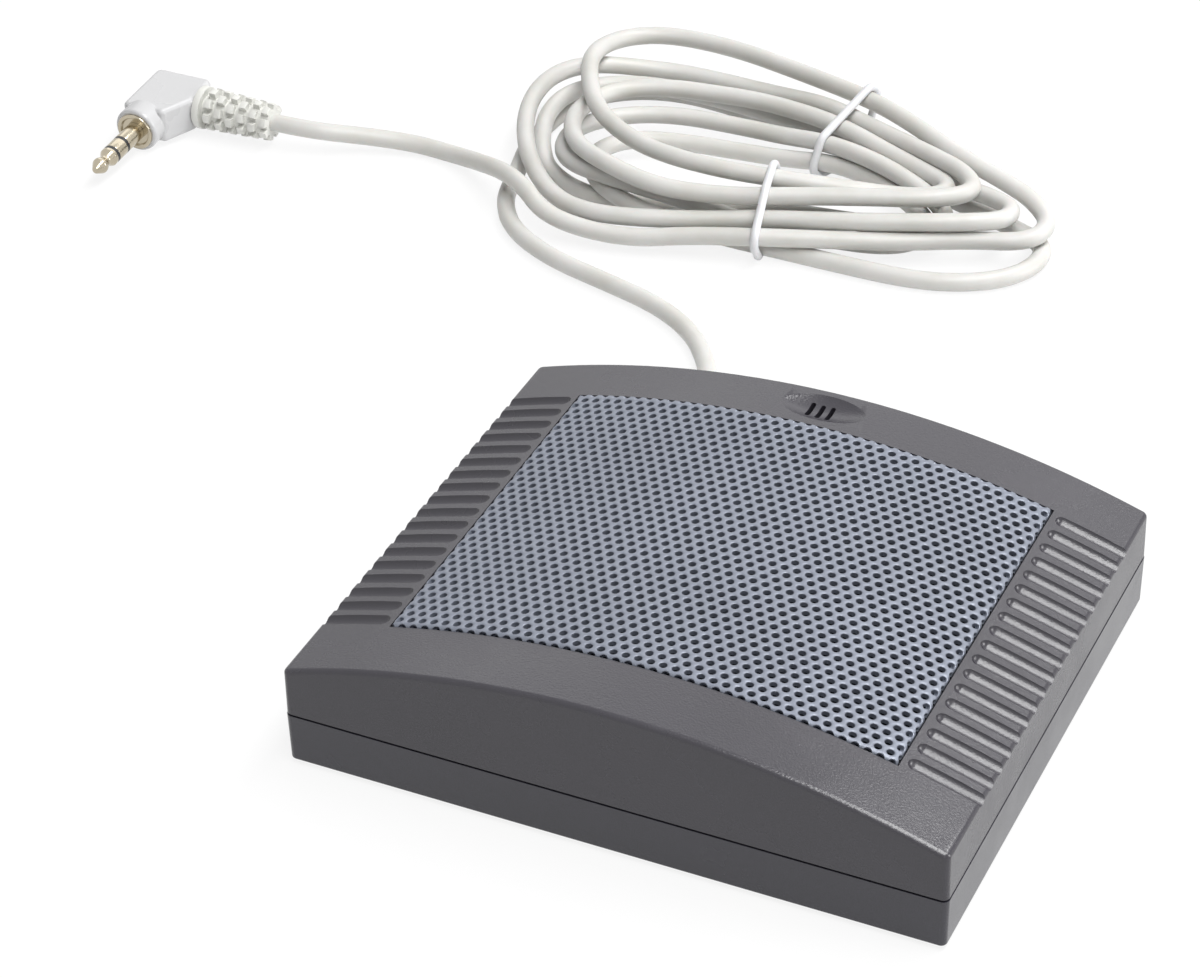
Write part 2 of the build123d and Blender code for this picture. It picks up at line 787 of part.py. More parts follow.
# ---- Base shell ----
base_inset = base_height * tan(radians(base_draft))
post_top_z = parting_z
with BuildPart() as base_shell:
    with BuildSketch(Plane.XY.offset(parting_z)):
        RectangleRounded(body_width, body_depth, corner_radius)
    with BuildSketch(Plane.XY.offset(foot_height)):
        RectangleRounded(
            body_width - 2 * base_inset,
            body_depth - 2 * base_inset,
            corner_radius - base_inset / 2,
        )
    loft()
    fillet(base_shell.faces().sort_by(Axis.Z)[0].edges(), base_edge_radius)
    with BuildSketch(Plane.XY.offset(floor_z)):
        RectangleRounded(inner_width, inner_depth, inner_corner)
    extrude(amount=base_height, mode=Mode.SUBTRACT)
    # Inner lip that the cover's step closes over.
    with BuildSketch(Plane.XY.offset(parting_z)):
        RectangleRounded(
            inner_width + 2 * lip_thickness,
            inner_depth + 2 * lip_thickness,
            inner_corner + lip_thickness,
        )
        RectangleRounded(inner_width, inner_depth, inner_corner, mode=Mode.SUBTRACT)
    extrude(amount=lip_height)
    # Posts for the housing screws, the board and the cord clamp.
    with BuildSketch(Plane.XY.offset(floor_z)):
        with Locations(*housing_screw_spots):
            Circle(housing_post_radius)
    extrude(amount=post_top_z - floor_z)
    with BuildSketch(Plane.XY.offset(floor_z)):
        with Locations(*board_screw_spots):
            Circle(board_post_radius)
    extrude(amount=board_z - floor_z)
    with BuildSketch(Plane.XY.offset(floor_z)):
        with Locations(*clamp_screw_spots):
            Circle(board_post_radius)
    extrude(amount=cord_z + cord_radius - floor_z)
    with BuildSketch(Plane.XY.offset(floor_z)):
        with Locations((cord_x, clamp_y)):
            Rectangle(2 * cord_radius, clamp_width)
    extrude(amount=cord_z - cord_radius - floor_z)
    # Screw holes: counterbored from below for the housing, blind from above for the rest.
    with Locations(*[(x, y, foot_height) for x, y in housing_screw_spots]):
        Cylinder(
            housing_screw_radius + fit_gap,
            post_top_z - foot_height,
            align=(Align.CENTER, Align.CENTER, Align.MIN),
            mode=Mode.SUBTRACT,
        )
        Cylinder(
            housing_head_radius + 2 * fit_gap,
            housing_head_depth,
            align=(Align.CENTER, Align.CENTER, Align.MIN),
            mode=Mode.SUBTRACT,
        )
    with Locations(*[(x, y, board_z) for x, y in board_screw_spots]):
        Hole(small_screw_radius + fit_gap / 2, small_screw_grip - board_thickness + fit_gap)
    with Locations(*[(x, y, cord_z + cord_radius) for x, y in clamp_screw_spots]):
        Hole(small_screw_radius + fit_gap / 2, small_screw_grip + fit_gap)
    # Shallow wells for the feet.
    with BuildSketch(Plane.XY.offset(foot_height)):
        with Locations(*foot_spots):
            Circle(foot_radius + fit_gap)
    extrude(amount=foot_recess, mode=Mode.SUBTRACT)
    # U-shaped notch in the rear wall for the cord's grommet.
    with BuildSketch(Plane.XZ.offset(-body_depth / 2 - 1)):
        with Locations((cord_x, cord_z)):
            Circle(grommet_neck_radius + fit_gap)
            Rectangle(2 * (grommet_neck_radius + fit_gap), base_height, align=(Align.CENTER, Align.MIN))
    extrude(amount=wall + 2, mode=Mode.SUBTRACT)
finish_part(base_shell, "base_shell")

with BuildPart() as rubber_feet:
    with BuildSketch():
        with Locations(*foot_spots):
            Circle(foot_radius)
    extrude(amount=foot_height + foot_recess)
    fillet(rubber_feet.edges().group_by(Axis.Z)[0], 0.4)
finish_part(rubber_feet, "rubber_feet")

housing_screw_grip = post_top_z + housing_screw_hold - foot_height - housing_head_depth
housing_screw = pan_screw(
    housing_screw_radius - fit_gap / 2,
    housing_screw_grip,
    housing_head_radius,
    housing_head_height,
)
with BuildPart() as housing_screws:
    with Locations(*[(x, y, foot_height + housing_head_depth) for x, y in housing_screw_spots]):
        add(housing_screw)
finish_part(housing_screws, "housing_screws")

# ---- Circuit board and what it carries ----
board_top_z = board_z + board_thickness
header_x = cord_x - header_aside
header_y = board_y + board_length / 2 - header_depth / 2 - header_edge_gap
with BuildPart() as circuit_board:
    with BuildSketch(Plane.XY.offset(board_z)):
        with Locations((board_x, board_y)):
            Rectangle(board_width, board_length)
        with Locations(*board_screw_spots):
            Circle(small_screw_radius + fit_gap, mode=Mode.SUBTRACT)
    extrude(amount=board_thickness)
    upright_edges = circuit_board.edges().filter_by(Axis.Z)
    fillet(upright_edges.sort_by_distance(Vector(board_x, board_y, board_z))[-4:], board_corner)
finish_part(circuit_board, "circuit_board")

board_screw = pan_screw(
    small_screw_radius, small_screw_grip, small_head_radius, small_head_height, down=True
)
with BuildPart() as board_screws:
    with Locations(*[(x, y, board_top_z) for x, y in board_screw_spots]):
        add(board_screw)
finish_part(board_screws, "board_screws")

with BuildPart() as wire_header:
    with Locations((header_x, header_y, board_top_z)):
        Box(header_width, header_depth, header_height, align=(Align.CENTER, Align.CENTER, Align.MIN))
    chamfer(wire_header.edges().group_by(Axis.Z)[-1], 0.3)
finish_part(wire_header, "wire_header")

with BuildPart() as board_capacitors:
    with BuildSketch(Plane.XY.offset(board_top_z)):
        with Locations((board_x - 5, board_y)):
            with GridLocations(0, 2.6 * capacitor_radius, 1, 2):
                Circle(capacitor_radius)
    extrude(amount=capacitor_height)
    fillet(board_capacitors.edges().group_by(Axis.Z)[-1], 0.4)
finish_part(board_capacitors, "board_capacitors")

with BuildPart() as board_chip:
    with Locations((board_x + 4, board_y - 3, board_top_z)):
        Box(chip_width, chip_length, chip_height, align=(Align.CENTER, Align.CENTER, Align.MIN))
    chamfer(board_chip.edges().group_by(Axis.Z)[-1], 0.25)
finish_part(board_chip, "board_chip")


def wire(*points, bend=0.8):
    """Round insulated wire along straight runs joined by arcs."""
    with BuildPart() as run:
        with BuildLine():
            route = FilletPolyline(*points, radius=bend)
        with BuildSketch(Plane(route @ 0, z_dir=route % 0)):
            Circle(wire_radius)
        sweep(path=route)
    return run.part


# Wires: from the cord's jacket to the header, from the speaker and the microphone to the board.
wire_level_z = board_top_z + header_height / 2
wire_pitch = 2 * wire_radius + fit_gap
header_pitch = 2.0
header_rear_y = header_y + header_depth / 2
with BuildPart() as cord_wires:
    for step in (-1, 0, 1):
        wire_start_x = cord_x + step * wire_pitch
        wire_end_x = header_x + step * header_pitch
        add(
            wire(
                (wire_start_x, jacket_end_y, cord_z),
                (wire_start_x, jacket_end_y - 1.5, cord_z),
                (wire_end_x, header_rear_y + 2.0, wire_level_z),
                (wire_end_x, header_rear_y, wire_level_z),
            )
        )
finish_part(cord_wires, "cord_wires")

speaker_pad_x = board_right_x - 2.5
speaker_lead_z = (strip_z + board_top_z) / 2
with BuildPart() as speaker_leads:
    for side in (-1, 1):
        lead_y = grille_centre_y + side * lug_pitch / 2
        add(
            wire(
                (lug_x, lead_y, strip_z),
                (lug_x, lead_y, speaker_lead_z),
                (speaker_pad_x, lead_y, speaker_lead_z),
                (speaker_pad_x, lead_y, board_top_z),
            )
        )
finish_part(speaker_leads, "speaker_leads")

mic_pad_x = board_right_x - 4.0
mic_pad_y = board_y + board_length / 2 - 7.0
mic_run_z = board_top_z + 6.0
with BuildPart() as mic_leads:
    for side in (-1, 1):
        aside = 2 * wire_radius * side
        add(
            wire(
                (aside, mic_y, mic_bottom_z),
                (aside, mic_y, mic_run_z - aside),
                (mic_pad_x + 8.0 + aside, mic_y - 6.0, mic_run_z - 1.5 - aside),
                (mic_pad_x + aside, mic_y - 13.0, mic_run_z - 2.5),
                (mic_pad_x + aside, mic_pad_y, mic_run_z - 3.0),
                (mic_pad_x + aside, mic_pad_y, board_top_z),
                bend=1.2,
            )
        )
finish_part(mic_leads, "mic_leads")

# ---- Cord entry: grommet, clamp and the jacket's inner end ----
with BuildPart() as cord_grommet:
    with BuildSketch(Plane((cord_x, 0, cord_z), x_dir=(0, 1, 0), z_dir=(1, 0, 0))):
        with BuildLine():
            inner_face_y = body_depth / 2 - wall
            outer_face_y = body_depth / 2
            taper_start_y = outer_face_y + grommet_flange
            Polyline(
                (inner_face_y - grommet_flange, 0),
                (inner_face_y - grommet_flange, grommet_flange_radius),
                (inner_face_y, grommet_flange_radius),
                (inner_face_y, grommet_neck_radius),
                (outer_face_y, grommet_neck_radius),
                (outer_face_y, grommet_flange_radius),
                (taper_start_y, grommet_flange_radius),
                (taper_start_y, grommet_root_radius),
                (taper_start_y + grommet_taper_length, grommet_tip_radius),
                (taper_start_y + grommet_taper_length, 0),
                close=True,
            )
        make_face()
    revolve(axis=Axis((cord_x, 0, cord_z), (0, 1, 0)))
    fillet(cord_grommet.edges().filter_by(GeomType.CIRCLE).group_by(SortBy.RADIUS)[-1], 0.25)
finish_part(cord_grommet, "cord_grommet")

with BuildPart() as cord_inner:
    with BuildSketch(Plane.XZ.offset(-(inner_face_y - grommet_flange))):
        with Locations((cord_x, cord_z)):
            Circle(cord_radius)
    extrude(amount=inner_face_y - grommet_flange - jacket_end_y)
finish_part(cord_inner, "cord_inner")

clamp_z = cord_z + cord_radius
with BuildPart() as cord_clamp:
    with BuildSketch(Plane.XY.offset(clamp_z)):
        with Locations((cord_x, clamp_y)):
            RectangleRounded(clamp_length, clamp_width, 0.45 * clamp_width)
        with Locations(*clamp_screw_spots):
            Circle(small_screw_radius + fit_gap, mode=Mode.SUBTRACT)
    extrude(amount=clamp_thickness)
    fillet(cord_clamp.faces().sort_by(Axis.Z)[-1].outer_wire().edges(), 0.4)
finish_part(cord_clamp, "cord_clamp")

clamp_grip = small_screw_grip + clamp_thickness
clamp_screw = pan_screw(small_screw_radius, clamp_grip, small_head_radius, small_head_height, down=True)
with BuildPart() as clamp_screws:
    with Locations(*[(x, y, clamp_z + clamp_thickness) for x, y in clamp_screw_spots]):
        add(clamp_screw)
finish_part(clamp_screws, "clamp_screws")

# ---- Plug: its own frame looks along the jack, from the body's front face to the tip ----
tilt = radians(plug_tilt)
plug_forward = Vector(0, -cos(tilt), -sin(tilt))
plug_up = Vector(0, -sin(tilt), cos(tilt))
plug_front = Vector(plug_x, plug_y, plug_z)
# In this plane x runs along the strain relief and y runs back from the body's front face.
plug_side = Plane(plug_front, x_dir=(1, 0, 0), z_dir=plug_up)
plug_axis = Axis(plug_front, plug_forward)
relief_centre = plug_front - plug_forward * relief_offset
relief_axis = Axis(relief_centre, (1, 0, 0))

with BuildPart() as plug_body:
    with BuildSketch(plug_side.offset(-plug_body_half_height)):
        with BuildLine():
            Polyline(
                (-plug_body_left, plug_nose_length * 0.7),
                (-plug_body_left, plug_body_length),
                (plug_body_right, plug_body_length),
                (plug_body_right, relief_offset - 0.75 * relief_root_radius),
                (plug_body_left, plug_nose_length * 0.7),
                close=True,
            )
        make_face()
    extrude(amount=2 * plug_body_half_height)
    fillet(plug_body.edges().filter_by(Axis((0, 0, 0), plug_up)), plug_body_corner)
    fillet(plug_body.faces().filter_by(Axis((0, 0, 0), plug_up)).edges(), plug_body_edge)
    with BuildSketch(Plane(plug_front, x_dir=(1, 0, 0), z_dir=plug_forward)):
        Circle(plug_nose_radius)
    extrude(amount=-plug_nose_length)
    fillet(plug_body.edges().filter_by(GeomType.CIRCLE).sort_by(plug_axis)[-1], 0.6)
finish_part(plug_body, "plug_body")

# Flexible strain relief: a core with rings that get smaller toward the cord.
relief_pitch = relief_length / (relief_rib_count - 1 + relief_rib_share)
relief_profile = [(plug_body_right, relief_offset)]
for i in range(relief_rib_count):
    for along in (i * relief_pitch, (i + relief_rib_share) * relief_pitch):
        rib_radius = relief_root_radius + (relief_tip_radius - relief_root_radius) * along / relief_length
        relief_profile.append((plug_body_right + along, relief_offset + rib_radius))
    if i < relief_rib_count - 1:
        for along in ((i + relief_rib_share) * relief_pitch, (i + 1) * relief_pitch):
            relief_profile.append((plug_body_right + along, relief_offset + relief_core_radius))
relief_profile.append((plug_body_right + relief_length, relief_offset))
with BuildPart() as plug_strain_relief:
    with BuildSketch(plug_side):
        with BuildLine():
            Polyline(*relief_profile, close=True)
        make_face()
    revolve(axis=relief_axis)
finish_part(plug_strain_relief, "plug_strain_relief")


def jack_piece(profile):
    """Solid of revolution about the jack, from (radius, distance ahead of the body) pairs."""
    with BuildPart() as piece:
        with BuildSketch(plug_side):
            with BuildLine():
                Polyline(*[(radius, -ahead) for radius, ahead in profile], close=True)
            make_face()
        revolve(axis=plug_axis)
    return piece.part


tip_start = jack_length - tip_length
ring_start = tip_start - band_length - ring_length
sleeve_end = ring_start - band_length
with BuildPart() as plug_collar:
    add(
        jack_piece(
            [(0, 0), (collar_radius, 0), (collar_radius, collar_thickness), (0, collar_thickness)],
        )
    )
    fillet(plug_collar.edges().sort_by(plug_axis)[-1], 0.2)
finish_part(plug_collar, "plug_collar")

with BuildPart() as plug_sleeve:
    add(
        jack_piece(
            [
                (0, collar_thickness),
                (jack_radius, collar_thickness),
                (jack_radius, sleeve_end),
                (0, sleeve_end),
            ],
        )
    )
finish_part(plug_sleeve, "plug_sleeve")

with BuildPart() as plug_ring:
    add(
        jack_piece(
            [
                (0, ring_start),
                (jack_radius, ring_start),
                (jack_radius, ring_start + ring_length),
                (0, ring_start + ring_length),
            ],
        )
    )
finish_part(plug_ring, "plug_ring")

with BuildPart() as plug_insulators:
    for band_start in (sleeve_end, tip_start - band_length):
        add(
            jack_piece(
                [
                    (0, band_start),
                    (jack_radius, band_start),
                    (jack_radius, band_start + band_length),
                    (0, band_start + band_length),
                ],
            )
        )
finish_part(plug_insulators, "plug_insulators")

with BuildPart() as plug_tip:
    add(
        jack_piece(
            [
                (0, tip_start),
                (jack_radius, tip_start),
                (jack_radius, tip_start + 0.15 * tip_length),
                (tip_neck_radius, tip_start + 0.42 * tip_length),
                (tip_neck_radius, tip_start + 0.5 * tip_length),
                (tip_end_radius, tip_start + 0.68 * tip_length),
                (tip_end_radius, tip_start + 0.78 * tip_length),
                (0.3 * tip_end_radius, jack_length),
                (0, jack_length),
            ],
        )
    )
finish_part(plug_tip, "plug_tip")


def corner_radii(points):
    """Largest gentle arc at each corner: 0.45 of the shorter run over the half turn's tangent."""
    radii = []
    for before, corner, after in zip(points, points[1:], points[2:]):
        run_in = Vector(*corner) - Vector(*before)
        run_out = Vector(*after) - Vector(*corner)
        half_turn = radians(run_in.get_angle(run_out)) / 2
        radius = 0.45 * min(run_in.length, run_out.length) / tan(half_turn)
        print(f"run {run_in.length:.1f} mm, then radius {radius:.1f} mm")
        radii.append(radius)
    return radii


# ---- Cord outside the housing: lead from the grommet, tied hank, tail to the plug ----
lead_start_y = taper_start_y + grommet_taper_length
cord_rest_z = cord_radius + fit_gap
lead_points = [
    (cord_x, lead_start_y, cord_z),
    (cord_x, lead_start_y + 6.3, cord_z),
    (-31.2, 65.2, 3.4),
    (-35.2, 73.8, cord_rest_z),
    (-41.0, 81.2, cord_rest_z),
    (-49.5, 86.6, cord_rest_z),
    (-61.0, 90.0, cord_rest_z),
    (-73.0, 93.2, cord_rest_z),
    (-83.5, 99.2, cord_rest_z),
    (-89.0, 107.5, cord_rest_z),
    (-90.5, 116.0, cord_rest_z),
]
relief_end = relief_centre + Vector(plug_body_right + relief_length, 0, 0)
tail_points = [
    (-83.5, 105.2, 6.6),
    (-89.0, 108.9, 6.6),
    (-96.5, 114.2, 3.9),
    (-104.0, 118.2, cord_rest_z),
    (-112.5, 118.8, cord_rest_z + 0.2),
    (-121.0, 116.0, 3.6),
    (relief_end.X + 7.4, relief_end.Y, relief_end.Z),
    (relief_end.X, relief_end.Y, relief_end.Z),
]


def cord_tube(points):
    """Round cord along straight runs joined by tangent arcs."""
    with BuildPart() as tube:
        with BuildLine():
            route = FilletPolyline(*points, radius=corner_radii(points))
        with BuildSketch(Plane(route @ 0, z_dir=route % 0)):
            Circle(cord_radius)
        sweep(path=route)
    section = pi * cord_radius**2
    print(f"tube {route.length:.1f} mm, volume over section {tube.part.volume / section:.1f} mm")
    return tube.part


with BuildPart() as cord_lead:
    add(cord_tube(lead_points))
finish_part(cord_lead, "cord_lead")

with BuildPart() as cord_tail:
    add(cord_tube(tail_points))
finish_part(cord_tail, "cord_tail")

# ---- Hank: the closed outer form of the wound cord, with a waist under each tie ----
hank_outline = [
    (-95.8, 136.0),
    (-90.0, 152.0),
    (-76.0, 162.0),
    (-52.0, 159.5),
    (-20.0, 148.5),
    (3.0, 139.5),
    (9.0, 131.5),
    (0.0, 119.0),
    (-14.0, 109.5),
    (-34.0, 107.5),
    (-62.0, 101.8),
    (-80.0, 104.0),
    (-91.0, 118.0),
]
hank_eye = [
    (-76.0, 128.0),
    (-66.0, 134.0),
    (-40.0, 135.5),
    (-18.0, 133.0),
    (-12.0, 130.0),
    (-20.0, 127.0),
    (-40.0, 121.5),
    (-62.0, 119.0),
    (-72.0, 122.0),
]
tie_core_z = fit_gap + tie_wire + tie_gap + tie_core_height / 2


def tie_plane(x, y, slope):
    """Plane of a tie: x runs across the bundle, y runs up, its normal runs along the bundle."""
    along = Vector(cos(radians(slope)), sin(radians(slope)), 0)
    across = Vector(-sin(radians(slope)), cos(radians(slope)), 0)
    return Plane((x, y, tie_core_z), x_dir=across, z_dir=along)


front_tie_plane = tie_plane(-41.5, 115.5, 14.0)
rear_tie_plane = tie_plane(-38.5, 143.0, -17.0)
with BuildPart() as cord_hank:
    with BuildSketch(Plane.XY.offset(fit_gap)):
        with BuildLine():
            Spline(*hank_outline, periodic=True)
        make_face()
        with BuildLine():
            Spline(*hank_eye, periodic=True)
        make_face(mode=Mode.SUBTRACT)
    extrude(amount=hank_height)
    fillet(cord_hank.edges().filter_by(Axis.Z, reverse=True), hank_edge)
    waist = tie_wire + 2 * tie_gap
    for place in (front_tie_plane, rear_tie_plane):
        with BuildSketch(place.offset(-waist / 2)):
            Rectangle(2.4 * tie_core_width, 2 * hank_height)
            RectangleRounded(tie_core_width, tie_core_height, hank_edge, mode=Mode.SUBTRACT)
        extrude(amount=waist, mode=Mode.SUBTRACT)
finish_part(cord_hank, "cord_hank")


def cable_tie(place):
    """Closed loop of round wire that lies one gap outside the bundle's waist."""
    with BuildPart() as loop:
        with BuildSketch(place.offset(-tie_wire / 2)):
            for around, mode in ((tie_gap + tie_wire, Mode.ADD), (tie_gap, Mode.SUBTRACT)):
                RectangleRounded(
                    tie_core_width + 2 * around,
                    tie_core_height + 2 * around,
                    hank_edge + around,
                    mode=mode,
                )
        extrude(amount=tie_wire)
        fillet(loop.edges().filter_by(Axis(place.origin, place.z_dir), reverse=True), 0.45 * tie_wire)
    return loop.part


with BuildPart() as cable_tie_front:
    add(cable_tie(front_tie_plane))
finish_part(cable_tie_front, "cable_tie_front")

with BuildPart() as cable_tie_rear:
    add(cable_tie(rear_tie_plane))
finish_part(cable_tie_rear, "cable_tie_rear")
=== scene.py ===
import json
import logging
import math
from dataclasses import dataclass
from enum import Enum

import bpy
import numpy as np
from mathutils import Matrix


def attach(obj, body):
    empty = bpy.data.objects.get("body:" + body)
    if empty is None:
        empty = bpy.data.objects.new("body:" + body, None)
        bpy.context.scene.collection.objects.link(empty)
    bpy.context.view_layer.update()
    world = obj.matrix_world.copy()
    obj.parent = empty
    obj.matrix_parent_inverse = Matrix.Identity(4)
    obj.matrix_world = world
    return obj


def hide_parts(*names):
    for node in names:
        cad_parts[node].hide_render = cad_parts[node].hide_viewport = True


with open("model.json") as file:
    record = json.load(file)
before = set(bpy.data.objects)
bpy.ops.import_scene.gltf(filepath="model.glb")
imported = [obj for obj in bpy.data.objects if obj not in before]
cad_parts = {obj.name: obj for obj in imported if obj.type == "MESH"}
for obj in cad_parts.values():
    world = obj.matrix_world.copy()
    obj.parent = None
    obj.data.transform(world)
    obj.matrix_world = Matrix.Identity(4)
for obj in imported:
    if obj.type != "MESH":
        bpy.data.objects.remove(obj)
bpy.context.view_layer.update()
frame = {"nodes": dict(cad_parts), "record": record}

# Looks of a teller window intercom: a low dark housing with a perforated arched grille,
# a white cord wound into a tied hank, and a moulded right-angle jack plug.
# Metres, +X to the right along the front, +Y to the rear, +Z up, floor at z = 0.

log = logging.getLogger("intercom")
MM = 0.001
HOUSING = "housing"
BARREL = 1.75  # radius of the jack in millimetres
WHITE = (1.0, 1.0, 1.0, 1.0)
Colour = tuple[float, float, float]
Place = tuple[float, float, float]
Corner = tuple[float, float, float]
Socket = bpy.types.NodeSocket


class Slot(Enum):
    """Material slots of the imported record."""

    COVER = "cover_plastic"
    GRILLE = "grille_paint"
    CLOTH = "cloth_black"
    SPEAKER = "speaker_steel"
    MAGNET = "magnet_ferrite"
    CONE = "cone_paper"
    COIL = "coil_copper"
    SOFT = "soft_black"
    SPIDER = "spider_cloth"
    LAMINATE = "laminate"
    TERMINAL = "terminal_board"
    COMPONENT = "component_black"
    HEADER = "header_plastic"
    MIC_CAN = "mic_can"
    WIRE = "wire_jacket"
    SCREW = "screw_steel"
    CORD = "cord_white"
    TIE = "tie_white"
    PLUG = "plug_white"
    JACK = "jack_metal"
    BANDS = "jack_bands"


# ---------------------------------------------------------------- materials


def linear(red: int, green: int, blue: int) -> Colour:
    """Turn a colour from 0 to 255 into scene light.

    Args:
        red: red, as a screen shows it.
        green: green, as a screen shows it.
        blue: blue, as a screen shows it.

    Returns:
        The three shares of light, by the sRGB curve: value over 12.92 near black,
        and ((value + 0.055) / 1.055) to the power 2.4 elsewhere.
    """
    shares = np.array([red, green, blue]) / 255
    light = np.where(shares <= 0.04045, shares / 12.92, ((shares + 0.055) / 1.055) ** 2.4)
    return tuple(float(part) for part in light)


def shaded(colour: Colour, factor: float) -> Colour:
    """The colour, lighter or darker by a factor."""
    return tuple(part * factor for part in colour)


class Bench:
    """Node tree of one material, with short calls for the nodes that the finishes use."""

    def __init__(self, name: str) -> None:
        """Start a material that has only its output and one shader.

        Args:
            name: the material's name.
        """
        self.material = bpy.data.materials.new(name)
        self.material.use_nodes = True
        self.tree = self.material.node_tree
        self.shader = self.tree.nodes["Principled BSDF"]
        self.place = self.node("TexCoord", {}).outputs["Object"]

    def node(self, kind: str, values: dict[str | int, float | Place]) -> bpy.types.Node:
        """Add a shader node.

        Args:
            kind: its type, without the ShaderNode before it.
            values: what its input sockets hold.

        Returns:
            The node.
        """
        node = self.tree.nodes.new(f"ShaderNode{kind}")
        for socket, value in values.items():
            node.inputs[socket].default_value = value
        return node

    def join(self, source: Socket, target: Socket) -> None:
        """Link two sockets."""
        self.tree.links.new(source, target)

    def noise(
        self, scale: float, detail: float = 3.0, rough: float = 0.6, stretch: Place | None = None
    ) -> Socket:
        """Cloudy pattern on Object coordinates.

        Args:
            scale: cells per metre.
            detail: how many finer layers it has.
            rough: how strong the finer layers are.
            stretch: factors along the axes, for streaks.

        Returns:
            The pattern's value, about 0 to 1.
        """
        node = self.node("TexNoise", {"Scale": scale, "Detail": detail, "Roughness": rough})
        place = self.place
        if stretch:
            mapping = self.node("Mapping", {"Scale": stretch})
            self.join(place, mapping.inputs["Vector"])
            place = mapping.outputs["Vector"]
        self.join(place, node.inputs["Vector"])
        return node.outputs["Fac"]

    def bands(self, pitch: float, along: str) -> Socket:
        """Straight bands on Object coordinates.

        Args:
            pitch: metres from band to band.
            along: axis that they follow each other on, X, Y or Z.

        Returns:
            The bands' value, 0 to 1.
        """
        node = self.node("TexWave", {"Scale": 0.5 / pitch / math.pi})
        node.bands_direction = along
        self.join(self.place, node.inputs["Vector"])
        return node.outputs["Fac"]

    def plus(self, first: Socket, second: Socket, share: float = 1.0) -> Socket:
        """Add two values.

        Args:
            first: the first value.
            second: the second value.
            share: what the second is multiplied by.

        Returns:
            The first value plus share times the second.
        """
        node = self.node("Math", {1: share})
        node.operation = "MULTIPLY_ADD"
        self.join(second, node.inputs[0])
        self.join(first, node.inputs[2])
        return node.outputs["Value"]

    def paint(self, value: Socket, *stops: tuple[float, Colour]) -> None:
        """Colour the shader along a value.

        Args:
            value: 0 to 1.
            stops: two pairs of a value and the colour there.
        """
        node = self.node("ValToRGB", {})
        for element, (spot, colour) in zip(node.color_ramp.elements, stops):
            element.position = spot
            element.color = (*colour, 1.0)
        self.join(value, node.inputs["Fac"])
        self.join(node.outputs["Color"], self.shader.inputs["Base Color"])

    def gloss(self, value: Socket, low: float, high: float) -> None:
        """Vary the shader's roughness.

        Args:
            value: pattern that it follows.
            low: roughness where the pattern is at 0.3 or less.
            high: roughness where the pattern is at 0.7 or more.
        """
        ends = {"From Min": 0.3, "From Max": 0.7, "To Min": low, "To Max": high}
        node = self.node("MapRange", ends)
        self.join(value, node.inputs["Value"])
        self.join(node.outputs["Result"], self.shader.inputs["Roughness"])

    def emboss(self, height: Socket, depth: float) -> bpy.types.Material:
        """Give the shader its relief, the last step of every finish.

        Args:
            height: pattern that it follows.
            depth: metres from the pattern's 0 to its 1.

        Returns:
            The finished material.
        """
        node = self.node("Bump", {"Distance": depth})
        self.join(height, node.inputs["Height"])
        self.join(node.outputs["Normal"], self.shader.inputs["Normal"])
        return self.material

    def set(self, socket: str, value: float) -> None:
        """Write a fixed value on the shader's own socket."""
        self.shader.inputs[socket].default_value = value


@dataclass(frozen=True)
class Finish:
    """What one material is made from."""

    name: str
    colour: Colour

    def material(self) -> bpy.types.Material:
        """Build the node material."""
        raise NotImplementedError

    def ready(self) -> bpy.types.Material:
        """The material, built at its first use."""
        return bpy.data.materials.get(self.name) or self.material()


@dataclass(frozen=True)
class MouldedPlastic(Finish):
    """Injection-moulded plastic with a spark-eroded grain.

    Fields: roughness, grain cells per metre, grain depth in metres, how much lighter
    and darker the colour clouds are, and the shader's specular level.
    """

    roughness: float = 0.55
    grain: float = 2600.0
    depth: float = 0.00005
    cloud: float = 0.06
    specular: float = 0.5

    def material(self) -> bpy.types.Material:
        """Build the node material: fine pits over faint handling marks.

        Returns:
            The material.
        """
        bench = Bench(self.name)
        clouds = bench.noise(60.0, 4.0)
        pits = bench.noise(self.grain, 2.0, 0.55)
        bench.paint(
            bench.plus(clouds, pits, 0.35),
            (0.35, shaded(self.colour, 1 - self.cloud)),
            (0.9, shaded(self.colour, 1 + self.cloud)),
        )
        bench.gloss(clouds, self.roughness - 0.06, self.roughness + 0.06)
        bench.set("Specular IOR Level", self.specular)
        return bench.emboss(pits, self.depth)


@dataclass(frozen=True)
class PaintedSheet(Finish):
    """Stoved enamel on punched sheet: faint orange peel, paler where it is rubbed."""

    roughness: float = 0.38
    metallic: float = 0.25

    def material(self) -> bpy.types.Material:
        """Build the node material: fine peel over wide clouds.

        Returns:
            The material.
        """
        bench = Bench(self.name)
        peel = bench.noise(1100.0, 2.0, 0.5)
        bench.paint(
            bench.noise(35.0), (0.3, shaded(self.colour, 0.9)), (0.75, shaded(self.colour, 1.1))
        )
        bench.gloss(peel, self.roughness - 0.07, self.roughness + 0.07)
        bench.set("Metallic", self.metallic)
        return bench.emboss(peel, 0.00002)


@dataclass(frozen=True)
class SpeakerCloth(Finish):
    """Thin open-weave cloth: threads crossing at right angles, paler over the ribs."""

    pitch: float = 0.0004

    def material(self) -> bpy.types.Material:
        """Build the node material: two sets of threads and their fuzz.

        Returns:
            The material.
        """
        bench = Bench(self.name)
        weave = bench.plus(bench.bands(self.pitch, "X"), bench.bands(self.pitch, "Y"))
        bench.paint(
            bench.plus(weave, bench.noise(900.0), 0.5),
            (0.4, shaded(self.colour, 0.7)),
            (1.0, shaded(self.colour, 1.3)),
        )
        bench.set("Roughness", 0.95)
        bench.set("Specular IOR Level", 0.15)
        return bench.emboss(weave, 0.00008)


